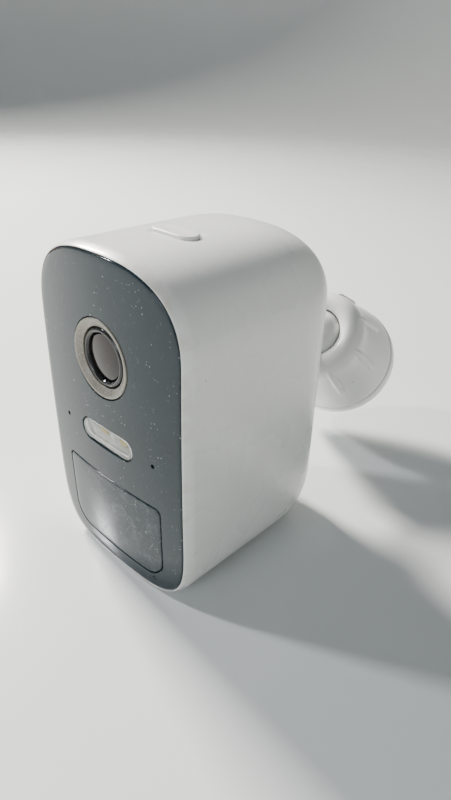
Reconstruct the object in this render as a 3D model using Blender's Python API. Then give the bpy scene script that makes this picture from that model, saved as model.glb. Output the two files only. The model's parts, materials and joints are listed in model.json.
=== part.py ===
"""Battery outdoor camera on a ball-joint wall mount, built as separate solids.

Lengths are in millimetres and are turned to metres as each solid is stored.
X is the width, Y runs from the lens panel back to the wall, Z is up. The origin
is on the flat underside of the housing. A depth is measured back from the
middle of the lens panel.
"""

import math
from collections import namedtuple

import bmesh
import bpy
from mathutils import Matrix, Vector

MM = 0.001
GAP = 0.3
FRONT_Y = -30.0

# Housing: width, height, depth, wall and the rounding of its outline.
WIDTH, HEIGHT, DEPTH = 57.0, 94.5, 66.0
WALL = 2.2
RIM = 1.05
RIM_ROUND = 0.9
TOP_CORNER = (28.4, 22.3, 2.56)
BOTTOM_CORNER = (19.8, 23.5, 3.37)
REAR_INSET, REAR_DEPTH, REAR_POWER = 22.5, 27.1, 2.95
REAR_INSET_LIMIT = 19.5
SIDE_SETBACK, END_SETBACK = 2.1, 0.65
LEDGE_DEPTH = 3.4
CORNER_STEPS = 8
REAR_STEPS = 7

# Front panel and what shows in it.
PANEL_THICK = 2.2
LENS_Z = 67.1
TRIM_RADIUS, TRIM_BORE = 10.5, 8.1
BARREL_RADIUS, GLASS_RADIUS = 7.8, 5.9
SPOT_Z = 44.0
SPOT_SIZE = (20.8, 6.0)
SPOT_LED_X = 4.2
PORT_X = 18.0
PIR_CENTRE, PIR_SIZE = (0.0, 18.4), (39.4, 24.4)
PIR_TOP_RADIUS, PIR_BOTTOM_RADIUS = 1.8, 6.5
STATUS_POINT = (16.4, 5.0)
PINHOLE = 0.6

# Depths of the inner layers.
IR_BOARD_DEPTH = 4.6
LED_BOARD_DEPTH = 4.9
CHASSIS_DEPTH, CHASSIS_THICK = 8.0, 1.6
PIR_BOARD_DEPTH = 14.0
SENSOR_BOARD_DEPTH = 21.0
MAIN_BOARD_DEPTH = 23.5
BOARD_THICK = 1.0
IR_LED_X = 13.5
POST_X, POST_LOW_Z, POST_HIGH_Z, POST_RADIUS = 20.5, 36.0, 78.0, 2.4

# Two 18650 cells standing side by side.
CELL_RADIUS, CELL_LENGTH, CELL_X = 9.25, 65.0, 9.7
CELL_DEPTH, CELL_Z = 36.5, 13.5

# Sync button on the top; the crown drops away under its flange and its seal.
BUTTON_X, BUTTON_DEPTH = 2.0, 24.0
BUTTON_SIZE = (14.6, 6.6)
BUTTON_PROUD = 0.7
BUTTON_CROWN_DROP = 0.85
BUTTON_TRAVEL = 0.6

# Charging port and its flap on the back.
PORT_Z = 26.5
FLAP_SIZE = (15.0, 8.4)
FLAP_THICK = 1.2
FLAP_HINGE_ROOM = 1.5

# Speaker over the underside.
SPEAKER_DEPTH = 37.0
SPEAKER_HOLE, SPEAKER_HOLE_CIRCLE = 0.9, 3.4

# Quarter-inch stud and insert.
INSERT_Z = 46.0
STUD_RADIUS, NECK_RADIUS = 3.1, 2.8
INSERT_RADIUS, BOSS_RADIUS = 4.7, 8.0

# Ball joint: the mount's axis runs from the ball centre to the wall.
BALL_RADIUS = 9.2
BALL_DEPTH = DEPTH + 28.0
MOUNT_PITCH, MOUNT_YAW = math.radians(39.0), math.radians(-9.0)
BASE_RADIUS, BASE_FRONT, BASE_BACK = 21.9, 26.0, 31.5
POST_OUTER = 13.5
SCREW_CIRCLE, SCREW_HOLE = 16.8, 2.2
GRIP_COUNT, GRIP_START, GRIP_WIDTH = 8, math.radians(21.0), 1.6
ROUND_STEPS = 36

Finish = namedtuple("Finish", "colour roughness metallic")
WHITE = Finish((0.80, 0.81, 0.80), 0.38, 0.0)
BUTTON_WHITE = Finish((0.84, 0.85, 0.84), 0.32, 0.0)
GLOSS_BLACK = Finish((0.025, 0.030, 0.033), 0.08, 0.0)
TRIM_GREY = Finish((0.32, 0.31, 0.28), 0.35, 0.2)
BLACK = Finish((0.02, 0.02, 0.02), 0.35, 0.0)
GLASS = Finish((0.05, 0.04, 0.035), 0.03, 0.0)
FROSTED = Finish((0.75, 0.76, 0.74), 0.25, 0.0)
PHOSPHOR = Finish((0.85, 0.62, 0.12), 0.45, 0.0)
RUBBER = Finish((0.03, 0.03, 0.03), 0.85, 0.0)
GREY_RUBBER = Finish((0.62, 0.63, 0.63), 0.70, 0.0)
BOARD = Finish((0.02, 0.18, 0.08), 0.45, 0.0)
STEEL = Finish((0.60, 0.60, 0.62), 0.30, 1.0)
BRASS = Finish((0.72, 0.52, 0.22), 0.32, 1.0)
CELL_BLUE = Finish((0.05, 0.16, 0.40), 0.40, 0.0)
NICKEL = Finish((0.66, 0.65, 0.60), 0.28, 1.0)


def setback(x, z):
    """Return how far the crowned front lies behind its middle at a point."""
    return SIDE_SETBACK * (2 * x / WIDTH) ** 2 + END_SETBACK * (2 * z / HEIGHT - 1) ** 2


def upright(points, depth):
    """Place (x, z) points on an upright plane at a depth."""
    return [(x, FRONT_Y + depth, z) for x, z in points]


def crowned(points, depth):
    """Place (x, z) points on the crowned surface at a depth; it flattens towards the back."""
    fade = 1 - depth / DEPTH
    return [(x, FRONT_Y + depth + fade * setback(x, z), z) for x, z in points]


def level(points, z):
    """Place (x, depth) points on a level plane."""
    return [(x, FRONT_Y + depth, z) for x, depth in points]


def arc(centre, radii, start, steps, power=2.0):
    """Return a quarter of a superellipse from the start angle, both ends included."""
    points = []
    for step in range(steps + 1):
        angle = start + step * math.pi / 2 / steps
        cosine, sine = math.cos(angle), math.sin(angle)
        points.append((
            centre[0] + radii[0] * math.copysign(abs(cosine) ** (2 / power), cosine),
            centre[1] + radii[1] * math.copysign(abs(sine) ** (2 / power), sine),
        ))
    return points


def rounded_rectangle(centre, size, low_radius, high_radius=None, steps=3):
    """Return a rectangle's outline with one radius below and one above."""
    high_radius = low_radius if high_radius is None else high_radius
    half_width, half_height = size[0] / 2, size[1] / 2
    outline = []
    for quarter, (side, end, radius) in enumerate(
        ((1, 1, high_radius), (-1, 1, high_radius), (-1, -1, low_radius), (1, -1, low_radius))
    ):
        corner = (
            centre[0] + side * (half_width - radius),
            centre[1] + end * (half_height - radius),
        )
        outline += arc(corner, (radius, radius), quarter * math.pi / 2, steps)
    return outline


def pill(centre, size, steps=5):
    """Return an outline with fully round ends."""
    return rounded_rectangle(centre, size, min(size) / 2 - 0.01, steps=steps)


def circle(centre, radius, steps=24):
    """Return a round outline."""
    turn = 2 * math.pi / steps
    return [
        (centre[0] + radius * math.cos(i * turn), centre[1] + radius * math.sin(i * turn))
        for i in range(steps)
    ]


def housing_outline(inset):
    """Return the housing's outline in (x, z), pulled in by an inset."""
    outline = []
    corners = ((1, 1, TOP_CORNER), (-1, 1, TOP_CORNER), (-1, -1, BOTTOM_CORNER), (1, -1, BOTTOM_CORNER))
    for quarter, (side, end, (across, along, power)) in enumerate(corners):
        across_left, along_left = max(across - inset, 0.4), max(along - inset, 0.4)
        corner = (
            side * (WIDTH / 2 - inset - across_left),
            HEIGHT / 2 + end * (HEIGHT / 2 - inset - along_left),
        )
        outline += arc(corner, (across_left, along_left), quarter * math.pi / 2, CORNER_STEPS, power)
    return outline


def extruded(loop, travel):
    """Return a bmesh of one flat loop of points pushed along a vector."""
    body = bmesh.new()
    base = body.faces.new([body.verts.new(point) for point in loop])
    pushed = bmesh.ops.extrude_face_region(body, geom=[base])["geom"]
    moved = [item for item in pushed if isinstance(item, bmesh.types.BMVert)]
    bmesh.ops.translate(body, vec=travel, verts=moved)
    return closed(body)


def plate(outline, depth, thickness):
    """Return an upright plate from its (x, z) outline."""
    return extruded(upright(outline, depth), (0, thickness, 0))


def shelf(outline, low, high):
    """Return a level slab from its (x, depth) outline."""
    return extruded(level(outline, low), (0, 0, high - low))


def lofted(loops):
    """Return a closed bmesh through loops with equal point counts, capped at both ends."""
    body = bmesh.new()
    rings, edge_rings = [], []
    for loop in loops:
        ring = [body.verts.new(point) for point in loop]
        rings.append(ring)
        edge_rings.append([body.edges.new((ring[i - 1], ring[i])) for i in range(len(ring))])
    for first, second in zip(edge_rings, edge_rings[1:]):
        bmesh.ops.bridge_loops(body, edges=first + second)
    body.faces.new(rings[0])
    body.faces.new(rings[-1])
    return closed(body)


def turned(profile, steps=ROUND_STEPS):
    """Return a bmesh turned about Z from (radius, height) points.

    A profile that leaves the axis and comes back to it is solid at the middle;
    any other profile is closed on itself and makes a ring.
    """
    body = bmesh.new()
    points = [body.verts.new((radius, 0, height)) for radius, height in profile]
    pairs = list(zip(points, points[1:]))
    if profile[0][0] > 0:
        pairs.append((points[-1], points[0]))
    edges = [body.edges.new(pair) for pair in pairs]
    bmesh.ops.spin(
        body, geom=points + edges, cent=(0, 0, 0), axis=(0, 0, 1),
        angle=2 * math.pi, steps=steps, use_merge=True,
    )
    return closed(body)


def closed(body):
    """Merge what meets and turn every face outwards."""
    bmesh.ops.remove_doubles(body, verts=body.verts, dist=0.001)
    bmesh.ops.recalc_face_normals(body, faces=body.faces)
    return body


def facing(body, centre, direction):
    """Turn a bmesh made about Z so that Z points along a direction, then move it."""
    turn = Vector((0, 0, 1)).rotation_difference(Vector(direction)).to_matrix()
    bmesh.ops.rotate(body, cent=(0, 0, 0), matrix=turn, verts=body.verts)
    bmesh.ops.translate(body, vec=centre, verts=body.verts)
    return body


def turned_back(profile, x, z, steps=ROUND_STEPS):
    """Return a piece turned about a line that runs straight back; heights are depths."""
    return facing(turned(profile, steps), (x, FRONT_Y, z), (0, 1, 0))


def rod(radius, low, high, chamfer=0.0):
    """Return the profile of a solid rod, with an optional chamfer at both ends."""
    if not chamfer:
        return [(0, low), (radius, low), (radius, high), (0, high)]
    return [
        (0, low), (radius - chamfer, low), (radius, low + chamfer),
        (radius, high - chamfer), (radius - chamfer, high), (0, high),
    ]


def tube(outer, inner, low, high):
    """Return the profile of a plain ring."""
    return [(inner, low), (outer, low), (outer, high), (inner, high)]


def combined(body, tools, operation):
    """Return a new bmesh of the body with each tool cut away or joined on."""
    helpers = []
    for index, shape in enumerate([body] + tools):
        mesh = bpy.data.meshes.new(f"helper_{index}")
        shape.to_mesh(mesh)
        shape.free()
        helper = bpy.data.objects.new(f"helper_{index}", mesh)
        bpy.context.scene.collection.objects.link(helper)
        helpers.append(helper)
    for tool in helpers[1:]:
        modifier = helpers[0].modifiers.new(tool.name, "BOOLEAN")
        modifier.operation = operation
        modifier.solver = "EXACT"
        modifier.object = tool
    result = bmesh.new()
    result.from_object(helpers[0], bpy.context.evaluated_depsgraph_get())
    for helper in helpers:
        mesh = helper.data
        bpy.data.objects.remove(helper, do_unlink=True)
        bpy.data.meshes.remove(mesh)
    return result


def cut(body, *tools):
    """Return the body with the tools cut away."""
    return combined(body, list(tools), "DIFFERENCE")


def join(body, *tools):
    """Return the body with the tools joined on."""
    return combined(body, list(tools), "UNION")


def store(name, body, finish, origin=(0, 0, 0), parent=None):
    """Store a bmesh as a named object with its own material and its origin at a point."""
    bmesh.ops.translate(body, vec=-Vector(origin), verts=body.verts)
    bmesh.ops.scale(body, vec=(MM, MM, MM), verts=body.verts)
    mesh = bpy.data.meshes.new(name)
    body.to_mesh(mesh)
    body.free()
    mesh.shade_smooth()
    mesh.set_sharp_from_angle(angle=math.radians(35))
    surface = bpy.data.materials.new(name)
    surface.use_nodes = True
    shader = surface.node_tree.nodes["Principled BSDF"]
    shader.inputs["Base Color"].default_value = (*finish.colour, 1)
    shader.inputs["Roughness"].default_value = finish.roughness
    shader.inputs["Metallic"].default_value = finish.metallic
    mesh.materials.append(surface)
    piece = bpy.data.objects.new(name, mesh)
    piece.location = Vector(origin) * MM
    piece.parent = parent
    bpy.context.scene.collection.objects.link(piece)
    return piece


def block(name, finish, x, depth, z, origin=None):
    """Store a plain box from its (low, high) spans along X, depth and Z."""
    outline = [(x[0], z[0]), (x[1], z[0]), (x[1], z[1]), (x[0], z[1])]
    middle = (sum(x) / 2, FRONT_Y + sum(depth) / 2, sum(z) / 2)
    return store(name, plate(outline, depth[0], depth[1] - depth[0]), finish, origin or middle)


def around(middle, size):
    """Return a (low, high) span around a middle."""
    return middle - size / 2, middle + size / 2


def rear_stations(wall):
    """Return (inset, depth) pairs of the rounded back, from its start to the flat."""
    stations = []
    for step in range(REAR_STEPS + 1):
        angle = step * math.pi / 2 / REAR_STEPS
        inset = (REAR_INSET - wall) * (1 - math.cos(angle) ** (2 / REAR_POWER)) + wall
        depth = DEPTH - REAR_DEPTH + (REAR_DEPTH - wall) * math.sin(angle) ** (2 / REAR_POWER)
        stations.append((min(inset, REAR_INSET_LIMIT), depth))
    return stations


def make_main_shell():
    """Make the deep housing cup: open at the front, bossed at the back for the stud."""
    loops = [crowned(housing_outline(inset), depth) for inset, depth in reversed(rear_stations(0))]
    for step in range(4):
        angle = step * math.pi / 6
        inset, depth = RIM_ROUND * (1 - math.cos(angle)), RIM_ROUND * (1 - math.sin(angle))
        loops.append(crowned(housing_outline(inset), depth))
    loops.append(crowned(housing_outline(RIM), 0))
    loops.append(crowned(housing_outline(RIM), LEDGE_DEPTH))
    loops.append(crowned(housing_outline(WALL), LEDGE_DEPTH))
    loops += [crowned(housing_outline(inset), depth) for inset, depth in rear_stations(WALL)]
    boss = turned_back(rod(BOSS_RADIUS, DEPTH - 13, DEPTH - WALL / 2), 0, INSERT_Z, 32)
    shell = join(lofted(loops), boss)

    bore = turned_back(rod(INSERT_RADIUS + GAP, DEPTH - 14, DEPTH + 1), 0, INSERT_Z, 32)
    button = pill((BUTTON_X, BUTTON_DEPTH), grown(BUTTON_SIZE))
    button_hole = shelf(button, HEIGHT - WALL - 2, HEIGHT + 1)
    width, height = grown(FLAP_SIZE)
    recess_outline = rounded_rectangle(
        (0, PORT_Z + FLAP_HINGE_ROOM / 2), (width, height + FLAP_HINGE_ROOM), 2.0, 0.8)
    recess = plate(recess_outline, DEPTH - FLAP_THICK - GAP, 3)
    socket = plate(pill((0, PORT_Z), (8.8, 4.0), 3), DEPTH - 3, 3)
    places = [(0.0, SPEAKER_DEPTH)] + circle((0.0, SPEAKER_DEPTH), SPEAKER_HOLE_CIRCLE, 6)
    speaker_holes = [shelf(circle(place, SPEAKER_HOLE, 12), -1, WALL + 2) for place in places]
    shell = cut(shell, bore, button_hole, recess, socket, *speaker_holes)
    store("main_shell", shell, WHITE)


def make_front_panel():
    """Make the crowned dark panel, its seal, and the window over the motion sensor."""
    inset = RIM + GAP
    edge = 0.35
    loops = [
        crowned(housing_outline(inset + edge), 0),
        crowned(housing_outline(inset), edge),
        crowned(housing_outline(inset), PANEL_THICK),
    ]
    panel = lofted([scaled_ring(loops[0], share) for share in (0.25, 0.5, 0.75)]
                   + loops
                   + [scaled_ring(loops[2], share, PANEL_THICK) for share in (0.66, 0.33)])
    holes = [
        turned_back(rod(TRIM_RADIUS + GAP, -2, 6), 0, LENS_Z),
        plate(pill((0, SPOT_Z), grown(SPOT_SIZE)), -2, 8),
        plate(pir_outline(GAP), -2, 8),
    ]
    for x, z in ((-PORT_X, SPOT_Z), (PORT_X, SPOT_Z), STATUS_POINT):
        holes.append(plate(circle((x, z), PINHOLE, 10), -2, 8))
    store("front_panel", cut(panel, *holes), GLOSS_BLACK)

    seal_loops = [
        crowned(housing_outline(WALL - 0.1), PANEL_THICK + GAP),
        crowned(housing_outline(inset), PANEL_THICK + GAP),
        crowned(housing_outline(inset), LEDGE_DEPTH - GAP),
        crowned(housing_outline(WALL - 0.1), LEDGE_DEPTH - GAP),
    ]
    store("front_seal", ring_lofted(seal_loops), RUBBER)

    window = lofted([
        crowned(scaled_outline(pir_outline(0), PIR_CENTRE, 0.5), -0.25),
        crowned(scaled_outline(pir_outline(0), PIR_CENTRE, 0.85), -0.15),
        crowned(pir_outline(-0.2), 0.0),
        crowned(pir_outline(0), 0.25),
        crowned(pir_outline(0), 1.5),
        crowned(scaled_outline(pir_outline(0), PIR_CENTRE, 0.5), 1.3),
    ])
    store("pir_lens", window, GLOSS_BLACK)


def grown(size, margin=GAP):
    """Return a size with a margin added on every side."""
    return size[0] + 2 * margin, size[1] + 2 * margin


def pir_outline(margin):
    """Return the motion window's outline grown by a margin."""
    return rounded_rectangle(
        PIR_CENTRE, grown(PIR_SIZE, margin), PIR_BOTTOM_RADIUS + margin, PIR_TOP_RADIUS + margin, 4)


def scaled_outline(outline, centre, share):
    """Return an outline shrunk about a centre."""
    return [(centre[0] + share * (x - centre[0]), centre[1] + share * (z - centre[1]))
            for x, z in outline]


def scaled_ring(loop, share, depth=0.0):
    """Return a placed loop's outline shrunk about the housing's middle, on the crown."""
    outline = scaled_outline([(x, z) for x, _, z in loop], (0, HEIGHT / 2), share)
    return crowned(outline, depth)


def ring_lofted(loops):
    """Return a closed frame through loops that come back to the first one."""
    body = bmesh.new()
    edge_rings = []
    for loop in loops:
        ring = [body.verts.new(point) for point in loop]
        edge_rings.append([body.edges.new((ring[i - 1], ring[i])) for i in range(len(ring))])
    for index, second in enumerate(edge_rings):
        bmesh.ops.bridge_loops(body, edges=edge_rings[index - 1] + second)
    return closed(body)


def make_lens_module():
    """Make the trim ring, barrel, glass, holder and image sensor on one line."""
    trim = [
        (TRIM_BORE, 1.1), (TRIM_RADIUS - 0.7, 0.15), (TRIM_RADIUS - 0.25, 0.1), (TRIM_RADIUS, 0.4),
        (TRIM_RADIUS, 3.2), (TRIM_BORE, 3.2),
    ]
    store("lens_trim_ring", turned_back(trim, 0, LENS_Z), TRIM_GREY, line_origin(LENS_Z))
    barrel = [
        (GLASS_RADIUS + GAP, 2.6), (GLASS_RADIUS + 0.5, 1.5), (GLASS_RADIUS + 0.9, 1.05),
        (BARREL_RADIUS - 0.6, 1.05), (BARREL_RADIUS, 1.5), (BARREL_RADIUS, 10.0), (6.4, 10.6),
        (6.4, 17.0), (4.2, 17.0), (4.2, 9.0), (GLASS_RADIUS + GAP, 7.0),
    ]
    store("lens_barrel", turned_back(barrel, 0, LENS_Z), BLACK, line_origin(LENS_Z))
    dome = [(0, 1.5)] + [(GLASS_RADIUS * share, 1.5 + 1.8 * share ** 2) for share in (0.35, 0.65, 0.85, 1)]
    dome += [(GLASS_RADIUS, 5.6), (0, 5.6)]
    store("lens_front_element", turned_back(dome, 0, LENS_Z, 32), GLASS, line_origin(LENS_Z))

    holder = cut(
        plate(rounded_rectangle((0, LENS_Z), (17.0, 17.0), 1.5), 11.0, 9.7),
        turned_back(rod(6.4 + GAP, 10.0, 17.6), 0, LENS_Z, 32),
        plate(rounded_rectangle((0, LENS_Z), (10.0, 10.0), 0.5), 16.0, 6.0),
    )
    store("lens_holder", holder, BLACK, line_origin(LENS_Z))
    block("image_sensor", STEEL, around(0, 7.6), (19.4, 20.7), around(LENS_Z, 6.6))
    block("sensor_board", BOARD, around(0, 22), (SENSOR_BOARD_DEPTH, SENSOR_BOARD_DEPTH + BOARD_THICK),
          around(LENS_Z, 20))


def line_origin(z, x=0.0):
    """Return the point where a straight-back line starts."""
    return x, FRONT_Y, z


def make_lights():
    """Make the spotlight, the infrared emitters and the boards that carry them."""
    store("spotlight_window", spot_window(), FROSTED, line_origin(SPOT_Z))
    reflector = plate(rounded_rectangle((0, SPOT_Z), (23.0, 8.4), 1.5), 2.75, 1.8)
    cups = [plate(rounded_rectangle((side * SPOT_LED_X, SPOT_Z), (6.4, 5.0), 1.0), 2, 4)
            for side in (-1, 1)]
    store("spotlight_reflector", cut(reflector, *cups), WHITE, line_origin(SPOT_Z))
    board = plate(rounded_rectangle((0, SPOT_Z), (44.0, 8.6), 1.0), LED_BOARD_DEPTH, BOARD_THICK)
    port = plate(circle((-PORT_X, SPOT_Z), 0.5, 10), 4, 3)
    store("led_board", cut(board, port), BOARD, line_origin(SPOT_Z))
    ring = turned_back(tube(17.0, 9.6, IR_BOARD_DEPTH, IR_BOARD_DEPTH + BOARD_THICK), 0, LENS_Z, 32)
    store("ir_board", ring, BOARD, line_origin(LENS_Z))
    for side, word in ((-1, "left"), (1, "right")):
        led = (LED_BOARD_DEPTH - GAP - 0.8, LED_BOARD_DEPTH - GAP)
        block(f"spotlight_led_{word}", PHOSPHOR, around(side * SPOT_LED_X, 3.5), led, around(SPOT_Z, 2.8))
        emitter = turned_back(rod(1.5, 3.3, IR_BOARD_DEPTH - GAP, 0.3), side * IR_LED_X, LENS_Z, 16)
        store(f"ir_led_{word}", emitter, BLACK, line_origin(LENS_Z, side * IR_LED_X))


def spot_window():
    """Return the frosted pill over the spotlight: flush in front, with softened edges."""
    return lofted([
        crowned(pill((0, SPOT_Z), grown(SPOT_SIZE, -0.25)), 0.1),
        crowned(pill((0, SPOT_Z), SPOT_SIZE), 0.35),
        crowned(pill((0, SPOT_Z), SPOT_SIZE), PANEL_THICK),
    ])


def make_sensors():
    """Make the motion sensor, microphone, light sensor and status light."""
    x, z = PIR_CENTRE
    holder = cut(
        plate(rounded_rectangle((x, z), (33.0, 19.0), 3.0), 4.0, 5.0),
        plate(rounded_rectangle((x, z), (30.0, 16.0), 2.0), 3.0, 7.0),
    )
    store("pir_holder", holder, BLACK, line_origin(z))
    can = [(0, 9.0), (4.0, 9.0), (4.15, 9.2), (4.15, 12.6), (4.7, 12.7), (4.7, 13.4), (0, 13.4)]
    store("pir_sensor", turned_back(can, x, z, 32), STEEL, line_origin(z))
    block("pir_board", BOARD, (-14.0, 19.0), (PIR_BOARD_DEPTH, PIR_BOARD_DEPTH + BOARD_THICK), (4.0, 29.0))

    boot = turned_back(tube(2.4, PINHOLE, 3.45, LED_BOARD_DEPTH - GAP), -PORT_X, SPOT_Z, 24)
    store("microphone_boot", boot, RUBBER, line_origin(SPOT_Z, -PORT_X))
    behind = LED_BOARD_DEPTH + BOARD_THICK + GAP
    block("microphone", STEEL, around(-PORT_X, 3.8), (behind, behind + 1.1), around(SPOT_Z, 3.0))
    front = LED_BOARD_DEPTH - GAP
    block("light_sensor", FROSTED, around(PORT_X, 2.0), (front - 0.8, front), around(SPOT_Z, 1.3))
    x, z = STATUS_POINT
    pipe = turned_back([(0, 1.3), (0.3, 1.3), (0.3, 3.6), (0.8, 3.9), (0.8, 12.9), (0, 12.9)], x, z, 12)
    store("status_light_pipe", pipe, FROSTED, line_origin(z, x))
    block("status_led", FROSTED, around(x, 1.6), (13.2, 13.7), around(z, 0.8))


def make_chassis():
    """Make the inner chassis with its four posts, and the board screwed to it."""
    chassis = plate(housing_outline(WALL + 0.5), CHASSIS_DEPTH, CHASSIS_THICK)
    posts, bores, board_holes = [], [], []
    places = [(side * POST_X, z) for z in (POST_LOW_Z, POST_HIGH_Z) for side in (-1, 1)]
    for x, z in places:
        posts.append(turned_back(rod(POST_RADIUS, CHASSIS_DEPTH + 0.5, MAIN_BOARD_DEPTH - GAP), x, z, 16))
        bores.append(turned_back(rod(1.0 + GAP, 14.0, MAIN_BOARD_DEPTH + 1), x, z, 16))
        board_holes.append(turned_back(rod(1.0 + GAP, 20, 30), x, z, 16))
    openings = [
        turned_back(rod(BARREL_RADIUS + 0.6, 5, 12), 0, LENS_Z, 32),
        plate(rounded_rectangle(PIR_CENTRE, (33.6, 19.6), 3.3), 5, 8),
        turned_back(rod(0.8 + GAP, 5, 12), *STATUS_POINT, 12),
    ]
    store("chassis", cut(join(chassis, *posts), *openings, *bores), BLACK)

    board = plate(rounded_rectangle((0, 47.0), (46.0, 66.0), 2.0), MAIN_BOARD_DEPTH, BOARD_THICK + 0.2)
    store("main_board", cut(board, *board_holes), BOARD, (0, FRONT_Y + MAIN_BOARD_DEPTH, 47.0))
    head = MAIN_BOARD_DEPTH + BOARD_THICK + 0.2 + GAP
    screw = [(0, 15.0), (0.8, 15.0), (1.0, 15.4), (1.0, head), (2.0, head), (2.0, head + 0.9),
             (1.6, head + 1.3), (0, head + 1.3)]
    words = ("lower_left", "lower_right", "upper_left", "upper_right")
    for (x, z), word in zip(places, words):
        store(f"board_screw_{word}", turned_back(screw, x, z, 16), STEEL, line_origin(z, x))
    block("wifi_antenna", BOARD, (-25.4, -24.8), (12.0, 20.0), (50.0, 74.0))


def make_battery():
    """Make the two cells, the strips that join them and the cradle that holds them."""
    for side, word in ((-1, "left"), (1, "right")):
        cell = turned([
            (0, 0), (CELL_RADIUS - 0.6, 0), (CELL_RADIUS, 0.6), (CELL_RADIUS, CELL_LENGTH - 1.6),
            (CELL_RADIUS - 0.5, CELL_LENGTH - 1.0), (3.4, CELL_LENGTH - 1.0), (3.0, CELL_LENGTH),
            (0, CELL_LENGTH),
        ], 32)
        foot = (side * CELL_X, FRONT_Y + CELL_DEPTH, CELL_Z)
        store(f"battery_cell_{word}", facing(cell, foot, (0, 0, 1)), CELL_BLUE, foot)
    top = CELL_Z + CELL_LENGTH + GAP
    block("battery_link_top", NICKEL, around(0, 28), around(CELL_DEPTH, 7), (top, top + 0.4))
    low = CELL_Z - GAP
    block("battery_link_bottom", NICKEL, around(0, 28), around(CELL_DEPTH, 7), (low - 0.4, low))
    back = CELL_DEPTH + CELL_RADIUS + 0.4
    front = CELL_DEPTH - CELL_RADIUS
    ends = (low - 2.2, top + 2.2)
    shelf_thick, reach = 1.4, 1.5
    profile = [
        (front, ends[0]), (back + reach, ends[0]), (back + reach, ends[1]), (front, ends[1]),
        (front, ends[1] - shelf_thick), (back, ends[1] - shelf_thick), (back, ends[0] + shelf_thick),
        (front, ends[0] + shelf_thick),
    ]
    side = [(-19.6, FRONT_Y + depth, z) for depth, z in profile]
    store("battery_cradle", extruded(side, (39.2, 0, 0)), BLACK)


def make_speaker():
    """Make the speaker over the holes in the underside, and its gasket."""
    middle, origin = (0, SPEAKER_DEPTH), (0, FRONT_Y + SPEAKER_DEPTH, WALL)
    gasket = cut(
        shelf(rounded_rectangle(middle, (17.0, 14.0), 2.0), WALL + GAP, WALL + 0.9),
        shelf(rounded_rectangle(middle, (13.0, 10.5), 1.5), WALL - 1, WALL + 2),
    )
    store("speaker_gasket", gasket, RUBBER, origin)
    body = shelf(rounded_rectangle(middle, (18.0, 14.0), 2.5), WALL + 1.2, WALL + 5.6)
    store("speaker", body, BLACK, origin)


def roof(x):
    """Return the height of the housing's crowned top at a place across it."""
    across, along, power = TOP_CORNER
    share = max(abs(x) - (WIDTH / 2 - across), 0) / across
    return HEIGHT - along * (1 - (1 - share ** power) ** (1 / power))


def over_roof(margin, proud):
    """Return the button's outline, grown by a margin, laid parallel to the top."""
    outline = pill((BUTTON_X, BUTTON_DEPTH), grown(BUTTON_SIZE, margin))
    return [(x, FRONT_Y + depth, roof(x) + proud) for x, depth in outline]


def make_sync_button():
    """Make the pill button, its seal and the switch with its moving plunger."""
    centre = (BUTTON_X, BUTTON_DEPTH)
    flange_thick = 0.8
    flange_top = HEIGHT - WALL - BUTTON_CROWN_DROP - GAP
    flange_low = flange_top - flange_thick
    crown = lofted([
        over_roof(-0.5, BUTTON_PROUD),
        over_roof(-0.15, BUTTON_PROUD - 0.12),
        over_roof(0, BUTTON_PROUD - 0.4),
        level(pill(centre, BUTTON_SIZE), flange_top),
        level(pill(centre, grown(BUTTON_SIZE, 1.0)), flange_top),
        level(pill(centre, grown(BUTTON_SIZE, 1.0)), flange_low),
    ])
    pivot, post_length = (BUTTON_X, FRONT_Y + BUTTON_DEPTH), 3.0
    post = facing(turned(rod(1.5, -post_length, 0.4), 16), (*pivot, flange_low), (0, 0, 1))
    store("sync_button", join(crown, post), BUTTON_WHITE, (*pivot, HEIGHT))

    seal_top = flange_low - BUTTON_TRAVEL - GAP
    seal = cut(
        shelf(pill(centre, grown(BUTTON_SIZE, 1.8)), seal_top - 0.8, seal_top),
        shelf(pill(centre, (10.0, 4.4)), seal_top - 2, seal_top + 2),
    )
    store("button_seal", seal, RUBBER, (*pivot, seal_top))

    plunger_top = flange_low - post_length - GAP
    body_top = plunger_top - BUTTON_TRAVEL - 0.4
    body_low = body_top - 3.2
    switch = cut(
        shelf(rounded_rectangle(centre, (6.2, 6.2), 0.6), body_low, body_top),
        facing(turned(rod(1.7 + GAP, body_low + 1.0, body_top + 1), 16), (*pivot, 0), (0, 0, 1)),
    )
    store("sync_switch", switch, BLACK, (*pivot, body_top))
    plunger = facing(turned(rod(1.7, body_low + 2.0, plunger_top, 0.2), 16), (*pivot, 0), (0, 0, 1))
    store("switch_plunger", plunger, FROSTED, (*pivot, body_top))
    board_top = body_low - GAP
    block("switch_board", BOARD, around(BUTTON_X, 22), around(BUTTON_DEPTH, 11), (board_top - 0.8, board_top))


def make_charging_port():
    """Make the charging socket, its board and the hinged rubber flap."""
    shell = cut(
        plate(rounded_rectangle((0, PORT_Z), (8.0, 3.0), 0.8), DEPTH - 8.4, 5.8),
        plate(rounded_rectangle((0, PORT_Z), (7.0, 2.0), 0.5), DEPTH - 7.6, 6.0),
    )
    store("usb_port", shell, STEEL, line_origin(PORT_Z))
    under = PORT_Z - 1.5 - GAP
    block("port_board", BOARD, around(0, 15), (DEPTH - 13.0, DEPTH - 3.2), (under - 0.8, under))
    flap = plate(rounded_rectangle((0, PORT_Z), FLAP_SIZE, 1.8), DEPTH - FLAP_THICK, FLAP_THICK)
    plug = plate(pill((0, PORT_Z), (7.4, 2.6), 3), DEPTH - FLAP_THICK - 0.8, 1.2)
    hinge = (0, FRONT_Y + DEPTH - FLAP_THICK, PORT_Z + FLAP_SIZE[1] / 2)
    store("port_flap", join(flap, plug), GREY_RUBBER, hinge)


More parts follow.
